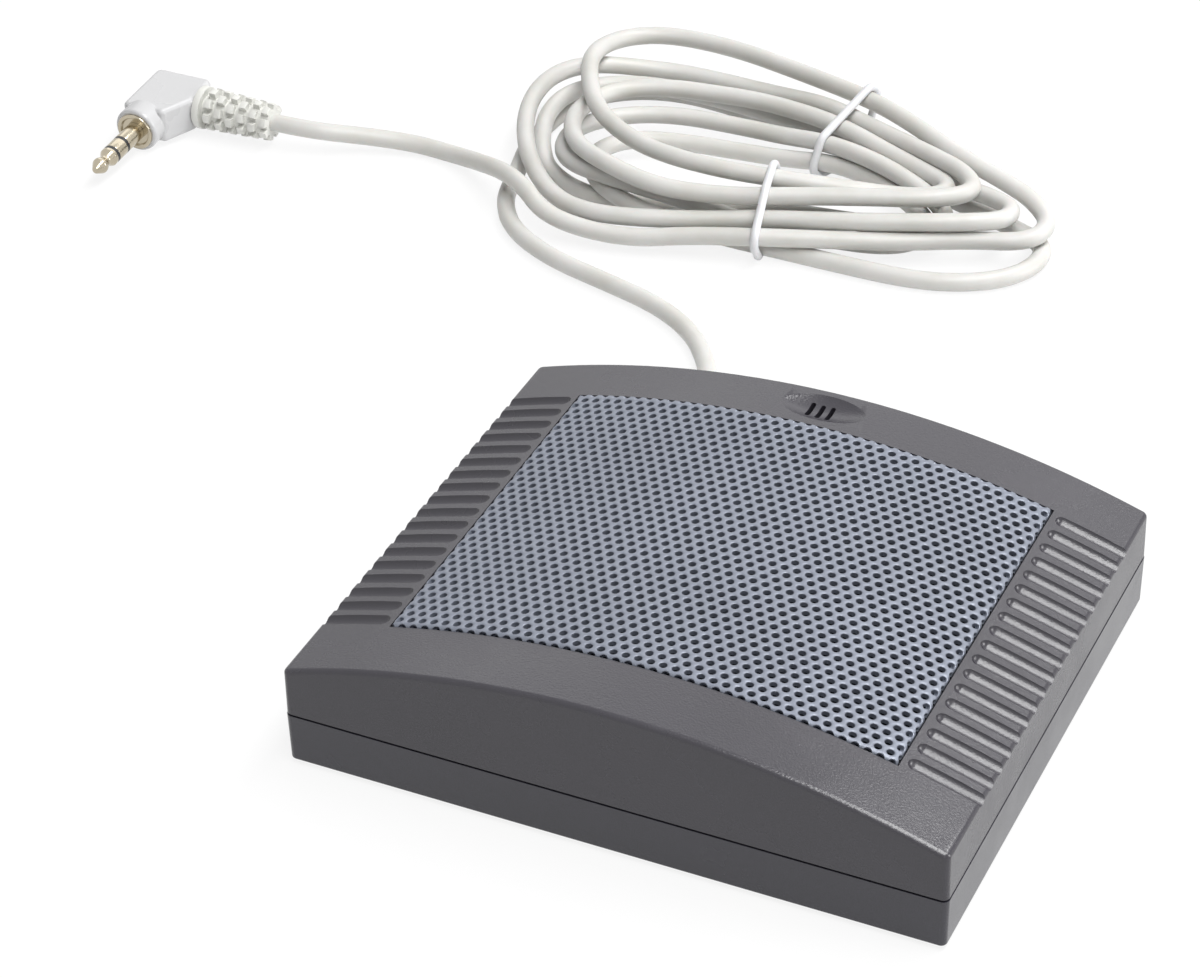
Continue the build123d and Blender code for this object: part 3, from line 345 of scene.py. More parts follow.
@dataclass(frozen=True)
class CordVinyl(Finish):
    """Soft vinyl jacket: slightly uneven, faintly translucent, with fine drawn lines."""

    shade: Colour
    roughness: float = 0.42
    subsurface: float = 0.06

    def material(self) -> bpy.types.Material:
        """Build the node material: a fine skin over soft clouds.

        Returns:
            The material.
        """
        bench = Bench(self.name)
        skin = bench.noise(1400.0)
        bench.paint(bench.noise(90.0, 4.0, 0.55), (0.3, self.shade), (0.62, self.colour))
        bench.gloss(skin, self.roughness - 0.08, self.roughness + 0.08)
        bench.set("Subsurface Weight", self.subsurface)
        bench.set("Subsurface Scale", 0.0015)
        return bench.emboss(skin, 0.00002)


@dataclass(frozen=True)
class PlatedMetal(Finish):
    """Plated or rolled metal: fine brushing along one axis, with tarnish clouds."""

    roughness: float = 0.22
    brushing: Place = (1.0, 30.0, 30.0)
    tarnish: float = 0.85

    def material(self) -> bpy.types.Material:
        """Build the node material: streaks over clouds of tarnish.

        Returns:
            The material.
        """
        bench = Bench(self.name)
        streaks = bench.noise(120.0, stretch=self.brushing)
        bench.paint(
            bench.noise(160.0), (0.3, shaded(self.colour, self.tarnish)), (0.7, self.colour)
        )
        bench.gloss(streaks, self.roughness - 0.06, self.roughness + 0.1)
        bench.set("Metallic", 1.0)
        return bench.emboss(streaks, 0.00001)


@dataclass(frozen=True)
class PressedFibre(Finish):
    """Paper or ferrite: matt, speckled and a little rough."""

    speckle: Colour
    roughness: float = 0.85
    scale: float = 1500.0

    def material(self) -> bpy.types.Material:
        """Build the node material: fibres over clouds twelve times as wide.

        Returns:
            The material.
        """
        bench = Bench(self.name)
        fibres = bench.noise(self.scale, 5.0, 0.65, (1.0, 1.0, 0.35))
        clouds = bench.noise(self.scale / 12)
        bench.paint(bench.plus(fibres, clouds, 0.4), (0.5, self.colour), (0.85, self.speckle))
        bench.gloss(fibres, self.roughness - 0.05, self.roughness + 0.08)
        return bench.emboss(fibres, 0.00004)


CASE = MouldedPlastic("case_charcoal", linear(49, 47, 54), 0.26, 3200.0, 0.000045, specular=0.6)
BASE = MouldedPlastic("base_charcoal", linear(46, 45, 53), 0.22, 3200.0, 0.00002, specular=0.6)
GRILLE = PaintedSheet("grille_enamel", linear(119, 124, 136))
CORD = CordVinyl("cord_vinyl", linear(202, 201, 198), linear(191, 190, 184))
TIE = CordVinyl("tie_vinyl", linear(216, 217, 219), linear(205, 206, 209), 0.4, 0.03)
PLUG = MouldedPlastic("plug_gloss", linear(190, 190, 191), 0.28, 900.0, 0.000008, 0.02)
RELIEF = MouldedPlastic("relief_satin", linear(211, 211, 206), 0.4, 1200.0, 0.00001, 0.03)
JACK = PlatedMetal("jack_nickel", (0.52, 0.465, 0.36), 0.16, (30.0, 1.0, 30.0))
FLOOR = MouldedPlastic("floor_white", (0.9, 0.9, 0.9), 0.9, depth=0.0, cloud=0.01, specular=0.1)

FINISHES: dict[Slot, Finish] = {
    Slot.COVER: CASE,
    Slot.GRILLE: GRILLE,
    # Painted shade: the cloth's near-black colour is its own black, made darker still to stand in
    # for the shade inside the grille's holes.
    Slot.CLOTH: SpeakerCloth("acoustic_cloth", linear(7, 8, 13)),
    Slot.SPEAKER: PlatedMetal("zinc_steel", (0.62, 0.62, 0.6), 0.35),
    Slot.MAGNET: PressedFibre("ferrite", linear(52, 50, 52), linear(78, 76, 78), 0.7, 2500.0),
    Slot.CONE: PressedFibre("cone_paper", linear(46, 44, 42), linear(82, 78, 72)),
    Slot.COIL: PlatedMetal("coil_copper", (0.72, 0.36, 0.2), 0.3, (1.0, 1.0, 60.0)),
    Slot.SOFT: MouldedPlastic("soft_rubber", linear(38, 38, 40), 0.8, depth=0.00003),
    Slot.SPIDER: PressedFibre(
        "spider_cloth", linear(176, 138, 78), linear(204, 170, 110), scale=1800.0
    ),
    Slot.LAMINATE: MouldedPlastic("board_laminate", linear(38, 92, 58), 0.35, 1800.0, 0.00001, 0.1),
    Slot.TERMINAL: PressedFibre(
        "terminal_board", linear(122, 84, 48), linear(150, 108, 66), scale=1200.0
    ),
    Slot.COMPONENT: MouldedPlastic("component_black", linear(34, 34, 38), 0.42, depth=0.00002),
    Slot.HEADER: MouldedPlastic(
        "header_ivory", linear(214, 208, 190), 0.5, depth=0.00001, cloud=0.04
    ),
    Slot.MIC_CAN: PlatedMetal("mic_can", (0.66, 0.66, 0.65), 0.25),
    Slot.WIRE: CordVinyl("wire_jacket", linear(150, 44, 40), linear(130, 36, 34), 0.5, 0.0),
    Slot.SCREW: PlatedMetal("screw_steel", (0.55, 0.55, 0.54), 0.3),
    Slot.CORD: CORD,
    Slot.TIE: TIE,
    Slot.PLUG: PLUG,
    Slot.JACK: JACK,
    Slot.BANDS: MouldedPlastic("band_black", linear(24, 24, 26), 0.4, cloud=0.1),
}


# ---------------------------------------------------------------- surfaces


@dataclass
class Surface:
    """Points and four-cornered faces, as whole arrays."""

    points: np.ndarray
    faces: np.ndarray

    def joined(self, *others: "Surface") -> "Surface":
        """Put surfaces together.

        Args:
            others: what is added to this one.

        Returns:
            All of them as one.
        """
        points, faces = [self.points], [self.faces]
        count = len(self.points)
        for other in others:
            points.append(other.points)
            faces.append(other.faces + count)
            count += len(other.points)
        return Surface(np.concatenate(points), np.concatenate(faces))

    def welded(self, within: float = 1e-7) -> tuple[np.ndarray, np.ndarray, np.ndarray]:
        """Merge points that coincide.

        Args:
            within: size of the grid that points are counted equal on.

        Returns:
            The points, the faces that keep four corners, and those left with three.
            A face with fewer is dropped.
        """
        keys = np.round(self.points / within).astype(np.int64)
        _, first, back = np.unique(keys, axis=0, return_index=True, return_inverse=True)
        quads = back.reshape(-1)[self.faces]
        same = quads == np.roll(quads, -1, axis=1)
        repeats = same.sum(axis=1)
        whole = quads[repeats == 0]
        crossed = (whole[:, 0] == whole[:, 2]) | (whole[:, 1] == whole[:, 3])
        triangles = quads[repeats == 1][~same[repeats == 1]].reshape(-1, 3)
        flat = (triangles == np.roll(triangles, -1, axis=1)).any(axis=1)
        return self.points[first], whole[~crossed], triangles[~flat]

    def piece(self, name: str, finish: Finish, sharp: float = 35.0) -> bpy.types.Object:
        """Make a Blender object of the surface.

        Args:
            name: the object's name.
            finish: what its material comes from.
            sharp: edges that turn by more than these degrees stay sharp.

        Returns:
            The object, at the origin.
        """
        points, quads, triangles = self.welded()
        corners = np.concatenate([quads.reshape(-1), triangles.reshape(-1)])
        starts = np.concatenate(
            [4 * np.arange(len(quads)), 4 * len(quads) + 3 * np.arange(len(triangles))]
        )
        mesh = bpy.data.meshes.new(name)
        mesh.vertices.add(len(points))
        mesh.vertices.foreach_set("co", points.astype(np.float32).reshape(-1))
        mesh.loops.add(len(corners))
        mesh.loops.foreach_set("vertex_index", corners.astype(np.int32))
        mesh.polygons.add(len(starts))
        mesh.polygons.foreach_set("loop_start", starts.astype(np.int32))
        mesh.update(calc_edges=True)
        mesh.validate()
        mesh.shade_smooth()
        mesh.set_sharp_from_angle(angle=math.radians(sharp))
        mesh.materials.append(finish.ready())
        log.info("%s: %d points, %d faces", name, len(points), len(starts))
        return linked(name, mesh)


def linked(name: str, data: bpy.types.ID) -> bpy.types.Object:
    """Make an object of a mesh, curve, light or camera and put it in the scene.

    Args:
        name: the object's name.
        data: what it shows.

    Returns:
        The object, at the origin.
    """
    item = bpy.data.objects.new(name, data)
    bpy.context.scene.collection.objects.link(item)
    return item


def fitted(piece: bpy.types.Object, slot: Slot, *nodes: str) -> bpy.types.Object:
    """Fix a piece to the housing in place of nodes of the frame.

    Args:
        piece: the piece.
        slot: the slot that its finish belongs to; not used.
        nodes: what it stands for.

    Returns:
        The piece.
    """
    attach(piece, HOUSING)
    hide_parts(*nodes)
    return piece


def grid_faces(
    rows: int, columns: int, round_rows: bool = False, round_columns: bool = False
) -> np.ndarray:
    """Faces of a grid whose points are stored row by row.

    Args:
        rows: points down the grid.
        columns: points across it.
        round_rows: whether the last row joins the first.
        round_columns: whether the last column joins the first.

    Returns:
        An array of four corner numbers a face: (row, column), next column, next row
        and column, next row.
    """
    index = np.arange(rows * columns).reshape(rows, columns)
    if round_rows:
        index = np.vstack([index, index[:1]])
    if round_columns:
        index = np.hstack([index, index[:, :1]])
    corners = [index[:-1, :-1], index[:-1, 1:], index[1:, 1:], index[1:, :-1]]
    return np.stack(corners, axis=-1).reshape(-1, 4)


def lathe(profile: np.ndarray, origin: np.ndarray, axis: np.ndarray, sides: int) -> Surface:
    """Surface of revolution.

    Each profile pair (radius r, distance along a) becomes the ring origin + a times
    the axis + r times (cos t side + sin t up) for t all round.

    Args:
        profile: pairs of radius and distance, from one end of the axis to the other.
        origin: where distance is nought.
        axis: unit vector.
        sides: faces round the axis.

    Returns:
        The surface, its faces outward where the distances rise along the profile.
    """
    askew = (0.31, 0.47, 0.83)
    side = np.cross(axis, askew)
    side = side / np.linalg.norm(side)
    up = np.cross(axis, side)
    turn = np.linspace(0, 2 * math.pi, sides, endpoint=False)
    ring = np.cos(turn)[:, None] * side + np.sin(turn)[:, None] * up
    points = origin + profile[:, 1][:, None, None] * axis + profile[:, 0][:, None, None] * ring
    return Surface(points.reshape(-1, 3), grid_faces(len(profile), sides, round_columns=True))


def rounded_profile(corners: tuple[Corner, ...], steps: int = 5) -> np.ndarray:
    """Profile with its corners rounded.

    A corner of rounding r, where the profile turns by the angle t, becomes a curve
    that starts and ends r times tan(t / 2) away from it, held to 0.45 of its shorter
    side. The curve's point at share s is (1 - s) squared times its start plus
    2 s (1 - s) times the corner plus s squared times its end.

    Args:
        corners: radius, distance along, and rounding of each corner.
        steps: points on each curve.

    Returns:
        Pairs of radius and distance.
    """
    spots = np.array([corner[:2] for corner in corners])
    roundings = [corner[2] for corner in corners[1:]]
    found = [spots[0]]
    for before, corner, after, rounding in zip(spots, spots[1:], spots[2:], roundings):
        arrive, leave = corner - before, after - corner
        room = 0.45 * min(np.linalg.norm(arrive), np.linalg.norm(leave))
        arrive, leave = arrive / np.linalg.norm(arrive), leave / np.linalg.norm(leave)
        half = math.acos(max(-1.0, min(1.0, float(arrive @ leave)))) / 2
        if rounding <= 0 or half < 0.01:
            found.append(corner)
            continue
        reach = min(rounding * math.tan(half), room)
        share = np.linspace(0, 1, steps)[:, None]
        start, end = corner - reach * arrive, corner + reach * leave
        found.extend((1 - share) ** 2 * start + 2 * share * (1 - share) * corner + share**2 * end)
    found.append(spots[-1])
    return np.array(found)


def smooth_copy(node: str, finish: Finish, slot: Slot, sharp: float = 30.0) -> bpy.types.Object:
    """Copy a node of the frame with its triangles merged, smooth over its curves.

    Args:
        node: the node's name.
        finish: what the copy's material comes from.
        slot: the slot that the finish belongs to.
        sharp: edges that turn by more than these degrees stay sharp.

    Returns:
        The copy, which stands for the node. Normals are weighted by face area, so
        that flat faces beside a rounding stay flat.
    """
    source = frame["nodes"][node].data
    points = np.empty(3 * len(source.vertices), dtype=np.float32)
    source.vertices.foreach_get("co", points)
    source.calc_loop_triangles()
    corners = np.empty(3 * len(source.loop_triangles), dtype=np.int32)
    source.loop_triangles.foreach_get("vertices", corners)
    corners = corners.reshape(-1, 3)
    faces = np.hstack([corners, corners[:, 2:]])
    piece = Surface(points.reshape(-1, 3).astype(float), faces).piece(f"{node}_skin", finish, sharp)
    weights = piece.modifiers.new("flat_faces", "WEIGHTED_NORMAL")
    weights.keep_sharp = True
    return fitted(piece, slot, node)


# ---------------------------------------------------------------- camera and studio


def stand(item: bpy.types.Object, place: Place, *axes: np.ndarray) -> None:
    """Place a lamp or the camera.

    Args:
        item: the object.
        place: where it stands.
        axes: its own X, Y and Z as unit vectors.
    """
    turn = np.eye(4)
    turn[:3, :3] = np.transpose(axes)
    turn[:3, 3] = place
    item.matrix_world = Matrix(turn.tolist())


@dataclass
class StudioCamera:
    """Camera in front, to the right and above, looking down at the desk."""

    place: Place = (0.167398, -0.388233, 0.338169)
    right: Place = (0.907120, 0.420325, -0.021456)
    down: Place = (0.229226, -0.536170, -0.812390)
    ahead: Place = (-0.352972, 0.732017, -0.582720)
    lens: float = 109.94

    def build(self) -> None:
        """Create the camera and make it the scene's."""
        data = bpy.data.cameras.new("camera")
        data.lens = self.lens
        data.sensor_width = 36.0
        data.sensor_fit = "HORIZONTAL"
        data.clip_start, data.clip_end = 0.02, 20.0
        item = linked("camera", data)
        stand(item, self.place, np.array(self.right), -np.array(self.down), -np.array(self.ahead))
        bpy.context.scene.camera = item
        log.info("camera placed")


@dataclass(frozen=True)
class Lamp:
    """Soft light: where it stands, its length and width, its power in watts and its aim."""

    name: str
    place: Place
    length: float
    width: float
    power: float
    aim: Place = (-0.03, 0.03, 0.01)

    def build(self) -> None:
        """Create the area light, its length level and its face turned toward its aim."""
        data = bpy.data.lights.new(self.name, "AREA")
        data.shape = "RECTANGLE"
        data.size, data.size_y = self.length, self.width
        data.energy = self.power
        away = np.array(self.place) - np.array(self.aim)
        away = away / np.linalg.norm(away)
        across = np.cross((0.0, 0.0, 1.0), away)
        across = across / np.linalg.norm(across)
        stand(linked(self.name, data), self.place, across, np.cross(away, across), away)


@dataclass
class Studio:
    """Pale floor, white surroundings and four soft lamps."""

    half_side: float = 3.0
    daylight: float = 0.15
    floor_glow: float = 0.86
    lamps: tuple[Lamp, ...] = (
        Lamp("overhead", (0.32, 0.1, 1.1), 1.5, 0.36, 19.0, (-0.03, 0.12, 0.01)),
        Lamp("front", (0.3, -0.75, 0.75), 0.35, 0.35, 0.6),
        Lamp("side", (1.2, 0.35, 0.4), 0.5, 0.5, 7.0),
        Lamp("backdrop", (-0.2, 1.0, 0.7), 1.5, 0.5, 2.3),
    )

    def mixed(self, tree: bpy.types.NodeTree, plain: Socket, seen: Socket, share: float) -> Socket:
        """Mix two shaders by the kind of ray.

        Args:
            tree: the node tree that they are in.
            plain: shader that lights the object and takes its shadow.
            seen: shader for rays from the camera, off a mirror and through glass.
            share: how much of the seen shader those rays get.

        Returns:
            The mixed shader.
        """
        path = tree.nodes.new("ShaderNodeLightPath")
        total = path.outputs["Is Camera Ray"]
        for output in ("Is Glossy Ray", "Is Transmission Ray"):
            node = tree.nodes.new("ShaderNodeMath")
            node.operation = "MAXIMUM"
            tree.links.new(total, node.inputs[0])
            tree.links.new(path.outputs[output], node.inputs[1])
            total = node.outputs["Value"]
        part = tree.nodes.new("ShaderNodeMath")
        part.operation = "MULTIPLY"
        part.inputs[1].default_value = share
        tree.links.new(total, part.inputs[0])
        mix = tree.nodes.new("ShaderNodeMixShader")
        for socket, source in enumerate((part.outputs["Value"], plain, seen)):
            tree.links.new(source, mix.inputs[socket])
        return mix.outputs["Shader"]

    def build_world(self) -> None:
        """White where it is seen, and plain daylight where it lights."""
        world = bpy.data.worlds.new("studio")
        bpy.context.scene.world = world
        world.use_nodes = True
        tree = world.node_tree
        light, white = tree.nodes["Background"], tree.nodes.new("ShaderNodeBackground")
        for node, strength in ((light, self.daylight), (white, 1.0)):
            node.inputs["Color"].default_value = WHITE
            node.inputs["Strength"].default_value = strength
        mix = self.mixed(tree, light.outputs["Background"], white.outputs["Background"], 1.0)
        tree.links.new(mix, tree.nodes["World Output"].inputs["Surface"])

    def build_floor(self) -> None:
        """White matt floor that still takes the object's shadow."""
        half = self.half_side
        points = np.array([(-half, -half, 0), (half, -half, 0), (half, half, 0), (-half, half, 0)])
        floor = Surface(points, np.array([[0, 1, 2, 3]])).piece("floor", FLOOR)
        tree = floor.data.materials[0].node_tree
        glow = tree.nodes.new("ShaderNodeEmission")
        glow.inputs["Strength"].default_value = 1.0
        shader = tree.nodes["Principled BSDF"].outputs["BSDF"]
        mix = self.mixed(tree, shader, glow.outputs["Emission"], self.floor_glow)
        tree.links.new(mix, tree.nodes["Material Output"].inputs["Surface"])

    def build(self) -> None:
        """Set up the floor, the surroundings and the lamps."""
        bpy.context.scene.view_settings.view_transform = "Standard"
        self.build_world()
        self.build_floor()
        for lamp in self.lamps:
            lamp.build()
        log.info("studio lit by %d lamps", len(self.lamps))


# ---------------------------------------------------------------- cord


@dataclass
class CordRun:
    """White cord from the housing's grommet through its hank to the plug.

    Points are in millimetres. The lead and the tail follow the frame's own. The turns
    between them are wound so that they fan out where no tie holds them.
    """

    radius: float = 1.6
    lead: tuple[Place, ...] = (
        (-30, 51.5, 6.2), (-30, 57.8, 6.2), (-31.2, 65.2, 3.4), (-35.2, 73.8, 1.7),
        (-41, 81.2, 1.7), (-49.5, 86.6, 1.7), (-61, 90, 1.7), (-73, 93.2, 1.7), (-83.5, 99.2, 1.7),
        (-89.1, 107.5, 1.8), (-90.8, 116, 1.7),
    )
    turns: tuple[tuple[Place, ...], ...] = (
        (
            (-93.9, 128, 1.7), (-92.3, 146, 1.7), (-79.1, 155, 1.7), (-60.1, 153, 1.7),
            (-45, 149, 1.7), (-38.5, 147, 1.7), (-15, 138, 1.7), (-4, 134, 1.7), (4.4, 130, 1.7),
            (4.6, 122.6, 1.7), (0.4, 116.4, 1.7), (-7, 112.4, 1.7), (-15, 110.8, 1.7),
            (-26, 110.8, 1.7), (-37, 111, 1.7),
        ),
        (
            (-50, 110.5, 2.2), (-61.9, 110.4, 3.4), (-73.5, 113.9, 4.7), (-79.9, 123, 4.3),
            (-77, 132, 3.7), (-68.6, 135.6, 3.3), (-56.7, 137, 3.1), (-47.9, 137.9, 3),
            (-38.6, 137.9, 4.3), (-29.3, 136.2, 3.8), (-21.9, 132.1, 3.2), (-16.3, 127.6, 2.9),
            (-16.5, 122.2, 2), (-22.3, 118.9, 1.6), (-32.2, 117.1, 2), (-41.5, 114.8, 2.4),
        ),
        (
            (-55.2, 113.3, 6), (-70.1, 112.8, 7.7), (-82.1, 116.6, 6.7), (-86.1, 127.8, 5.7),
            (-80.7, 136.8, 5.3), (-70.8, 141.4, 5.2), (-57.9, 142.1, 5.1), (-49.3, 141.2, 5.6),
            (-40, 139.3, 7.3), (-28.9, 136.3, 7.3), (-18.5, 132.5, 5.6), (-13.3, 128.5, 4.4),
            (-13.2, 123.5, 4.8), (-18.3, 120.4, 5.2), (-26.9, 119.3, 5.3), (-42.5, 117.5, 5.2),
        ),
        (
            (-55.8, 117.4, 1.8), (-66.3, 115.5, 1.7), (-76.2, 114.7, 1.6), (-85.5, 118.3, 2.4),
            (-90.2, 125.2, 3.5), (-92.8, 133.1, 5.3), (-91.8, 143.1, 5.2), (-81.9, 149.7, 5.2),
            (-66, 150.1, 5), (-52.1, 148.2, 4.9), (-43.4, 147.3, 5), (-32, 142.9, 4.8),
            (-18.3, 138.5, 4.9), (-8.7, 135.2, 6.1), (-2.2, 131.6, 6.8), (-2.4, 126, 7.4),
            (-10.7, 121.1, 8), (-26.5, 115.8, 7.3), (-42.2, 112.6, 6.1),
        ),
        (
            (-49.6, 110, 5.5), (-62.2, 105.8, 5.3), (-71.1, 104.6, 5), (-79, 107, 4.9),
            (-86.5, 114, 5.5), (-92.5, 123, 6.4), (-95.5, 132, 8), (-95.6, 142, 8), (-91, 149, 7.6),
            (-81.1, 155, 5.4), (-73, 156.5, 5), (-56.4, 155.2, 5.2), (-44.6, 150.2, 8.3),
            (-32, 144.5, 8.6), (-19.2, 138.8, 9.2), (-12.3, 135, 9.5), (-8.8, 129.4, 9.8),
            (-14.4, 124.1, 10.1), (-27.1, 119.9, 10), (-42.8, 114.4, 9.5),
        ),
        (
            (-47.1, 113.1, 9.2), (-56.1, 111.1, 9.2), (-62.9, 110.7, 9.7), (-70.8, 112.2, 10.7),
            (-78.2, 116.2, 10.4), (-82.7, 122.3, 9.6), (-85.3, 130.3, 8.8), (-83.7, 138, 8.3),
            (-79.7, 142.6, 8.2), (-72.7, 145.4, 8.2), (-64.8, 146.6, 8), (-58, 147.1, 8.1),
            (-51.4, 146.6, 8.2), (-40.3, 143.9, 8.7), (-27.7, 139.3, 7.5), (-18.1, 135.7, 7),
            (-14.5, 132.1, 7.9), (-15.3, 128.2, 8.2), (-21, 125.4, 8.4), (-29.8, 122.3, 9.6),
            (-40.5, 119, 10.9),
        ),
        (
            (-50.5, 117, 11.5), (-62, 117.6, 11.6), (-70.8, 120.5, 11.7), (-79.7, 127.1, 11.8),
            (-86, 137, 11.8), (-90, 147, 11.2), (-88, 156, 10.1), (-80.6, 161, 9.7),
            (-67.6, 161, 9.6), (-53.7, 157, 10), (-37.7, 151, 11), (-28.3, 146.5, 11),
            (-15.3, 140.4, 9.3), (-5.6, 137.2, 8.1), (-0.1, 135.2, 7), (4.5, 131.2, 5.6),
            (2.9, 125.4, 4.8), (-7.4, 122.6, 4.4), (-18.8, 116.7, 4.6), (-31.3, 111.9, 4.9),
            (-41.1, 108.2, 5.1),
        ),
    )
    tail: tuple[Place, ...] = (
        (-53, 105.7, 4), (-62, 102.6, 3), (-72, 101.5, 3.5), (-79, 102.1, 4.9), (-83.5, 105.2, 6.6),
        (-89, 108.9, 6.6), (-96.5, 114.2, 3.9), (-104, 118.2, 1.7), (-112.5, 118.8, 1.9),
        (-121, 115.6, 3.2), (-130, 111.1, 4.8), (-137.4, 111.1, 4.8),
    )

    def route(self) -> list[Place]:
        """All route points in metres, from the grommet to the plug."""
        wound = [spot for turn in self.turns for spot in turn]
        return [tuple(MM * part for part in spot) for spot in (*self.lead, *wound, *self.tail)]

    def line(self) -> np.ndarray:
        """Read the cord's smooth line from its spline.

        Returns:
            Points along it in metres.
        """
        bare = self.curve("cord_line", 0.0)
        mesh = bpy.data.meshes.new_from_object(bare)
        points = np.empty(3 * len(mesh.vertices), dtype=np.float32)
        mesh.vertices.foreach_get("co", points)
        bpy.data.meshes.remove(mesh)
        data = bare.data
        bpy.data.objects.remove(bare)
        bpy.data.curves.remove(data)
        return points.reshape(-1, 3).astype(float)

    def curve(self, name: str, thickness: float) -> bpy.types.Object:
        """Curve object of one smooth spline, with the route as its control points.

        Args:
            name: the object's name.
            thickness: radius of the round section in metres, or 0 for a bare line.

        Returns:
            The curve object.
        """
        route = self.route()
        data = bpy.data.curves.new(name, "CURVE")
        data.dimensions = "3D"
        spline = data.splines.new("NURBS")
        spline.points.add(len(route) - 1)
        spline.points.foreach_set("co", np.array([(*spot, 1.0) for spot in route]).reshape(-1))
        spline.order_u = 3
        spline.use_endpoint_u = True
        data.resolution_u = 10
        data.bevel_depth = thickness
        data.bevel_resolution = 6
        data.use_fill_caps = thickness > 0
        return linked(name, data)

    def build(self, plug_pieces: list[bpy.types.Object]) -> None:
        """Args:
            plug_pieces: the separate pieces on the cord; not used.
        """
        length = float(np.linalg.norm(np.diff(self.line(), axis=0), axis=1).sum())
        cord = self.curve("cord", MM * self.radius)
        cord.data.materials.append(CORD.ready())
        fitted(cord, Slot.CORD, "cord_lead", "cord_hank", "cord_tail")
        log.info("cord: %.3f m", length)


@dataclass
class WireTie:
    """Coated wire pulled tight round the strands that pass through one plane.

    Sizes are in millimetres. The plane stands upright at the place, and its normal
    lies slope degrees from X.
    """

    name: str
    node: str
    place: Place
    slope: float
    radius: float = 0.75
    span: float = 13.0
    middle_z: float = 5.0
    samples: int = 96
    sides: int = 16

    def axes(self) -> tuple[np.ndarray, np.ndarray]:
        """Directions of the tie's plane.

        Returns:
            Its normal, and the level direction in it.
        """
        along, aside = math.cos(math.radians(self.slope)), math.sin(math.radians(self.slope))
        return np.array((along, aside, 0.0)), np.array((-aside, along, 0.0))

    def outline(self, line: np.ndarray, cord_radius: float) -> np.ndarray:
        """Closed loop that the taut wire's middle follows.

        Each strand cuts the plane in a circle, and the loop keeps the wire's radius
        outside the hull of these circles: for every direction it takes the farthest
        circle and goes both radii out from its middle.

        Args:
            line: points along the cord.
            cord_radius: radius of the cord.

        Returns:
            The loop's points in metres.
        """
        normal, across = self.axes()
        spot = MM * np.array(self.place)
        side = (line - spot) @ normal
        cuts = np.nonzero(side[:-1] * side[1:] <= 0)[0]
        share = side[cuts] / (side[cuts] - side[cuts + 1])
        hits = line[cuts] + share[:, None] * (line[cuts + 1] - line[cuts]) - spot
        flat = np.stack([hits @ across, hits[:, 2]], axis=1)
        flat = flat[np.linalg.norm(flat - (0.0, MM * self.middle_z), axis=1) < MM * self.span]
        turn = np.linspace(0, 2 * math.pi, self.samples, endpoint=False)
        ways = np.stack([np.cos(turn), np.sin(turn)], axis=1)
        best = flat[np.argmax(flat @ ways.T, axis=0)]
        loop = best + (cord_radius + MM * self.radius) * ways
        loop[:, 1] = np.maximum(loop[:, 1], MM * self.radius)
        log.info("%s: %d strands", self.name, len(flat))
        return spot * (1, 1, 0) + loop[:, :1] * across + loop[:, 1:] * (0.0, 0.0, 1.0)

    def build(self, line: np.ndarray, cord_radius: float) -> None:
        """Make the tie as a closed tube.

        Points are spread evenly along the loop, and round each goes the ring of radius
        r: the point + r times (cos t out + sin t normal), out being square to the loop.

        Args:
            line: points along the cord.
            cord_radius: radius of the cord.
        """
        loop = self.outline(line, cord_radius)
        steps = np.r_[0, np.cumsum(np.linalg.norm(np.roll(loop, -1, axis=0) - loop, axis=1))]
        even = np.linspace(0, steps[-1], self.samples, endpoint=False)
        closed = np.vstack([loop, loop[:1]])
        path = np.stack([np.interp(even, steps, closed[:, axis]) for axis in range(3)], axis=1)
        ahead = np.roll(path, -1, axis=0) - np.roll(path, 1, axis=0)
        ahead /= np.linalg.norm(ahead, axis=1)[:, None]
        normal, _ = self.axes()
        out = np.cross(ahead, normal)
        turn = np.linspace(0, 2 * math.pi, self.sides, endpoint=False)
        ring = np.cos(turn)[None, :, None] * out[:, None] + np.sin(turn)[None, :, None] * normal
        points = path[:, None] + MM * self.radius * ring
        faces = grid_faces(len(path), len(turn), round_rows=True, round_columns=True)
        tie = Surface(points.reshape(-1, 3), faces[:, ::-1]).piece(self.name, TIE)
        fitted(tie, Slot.TIE, self.node)


TIES = (
    WireTie("tie_front", "cable_tie_front", (-41.5, 113.8, 0.0), 8.0),
    WireTie("tie_rear", "cable_tie_rear", (-38.5, 145.0, 0.0), -17.0),
)


# ---------------------------------------------------------------- grille


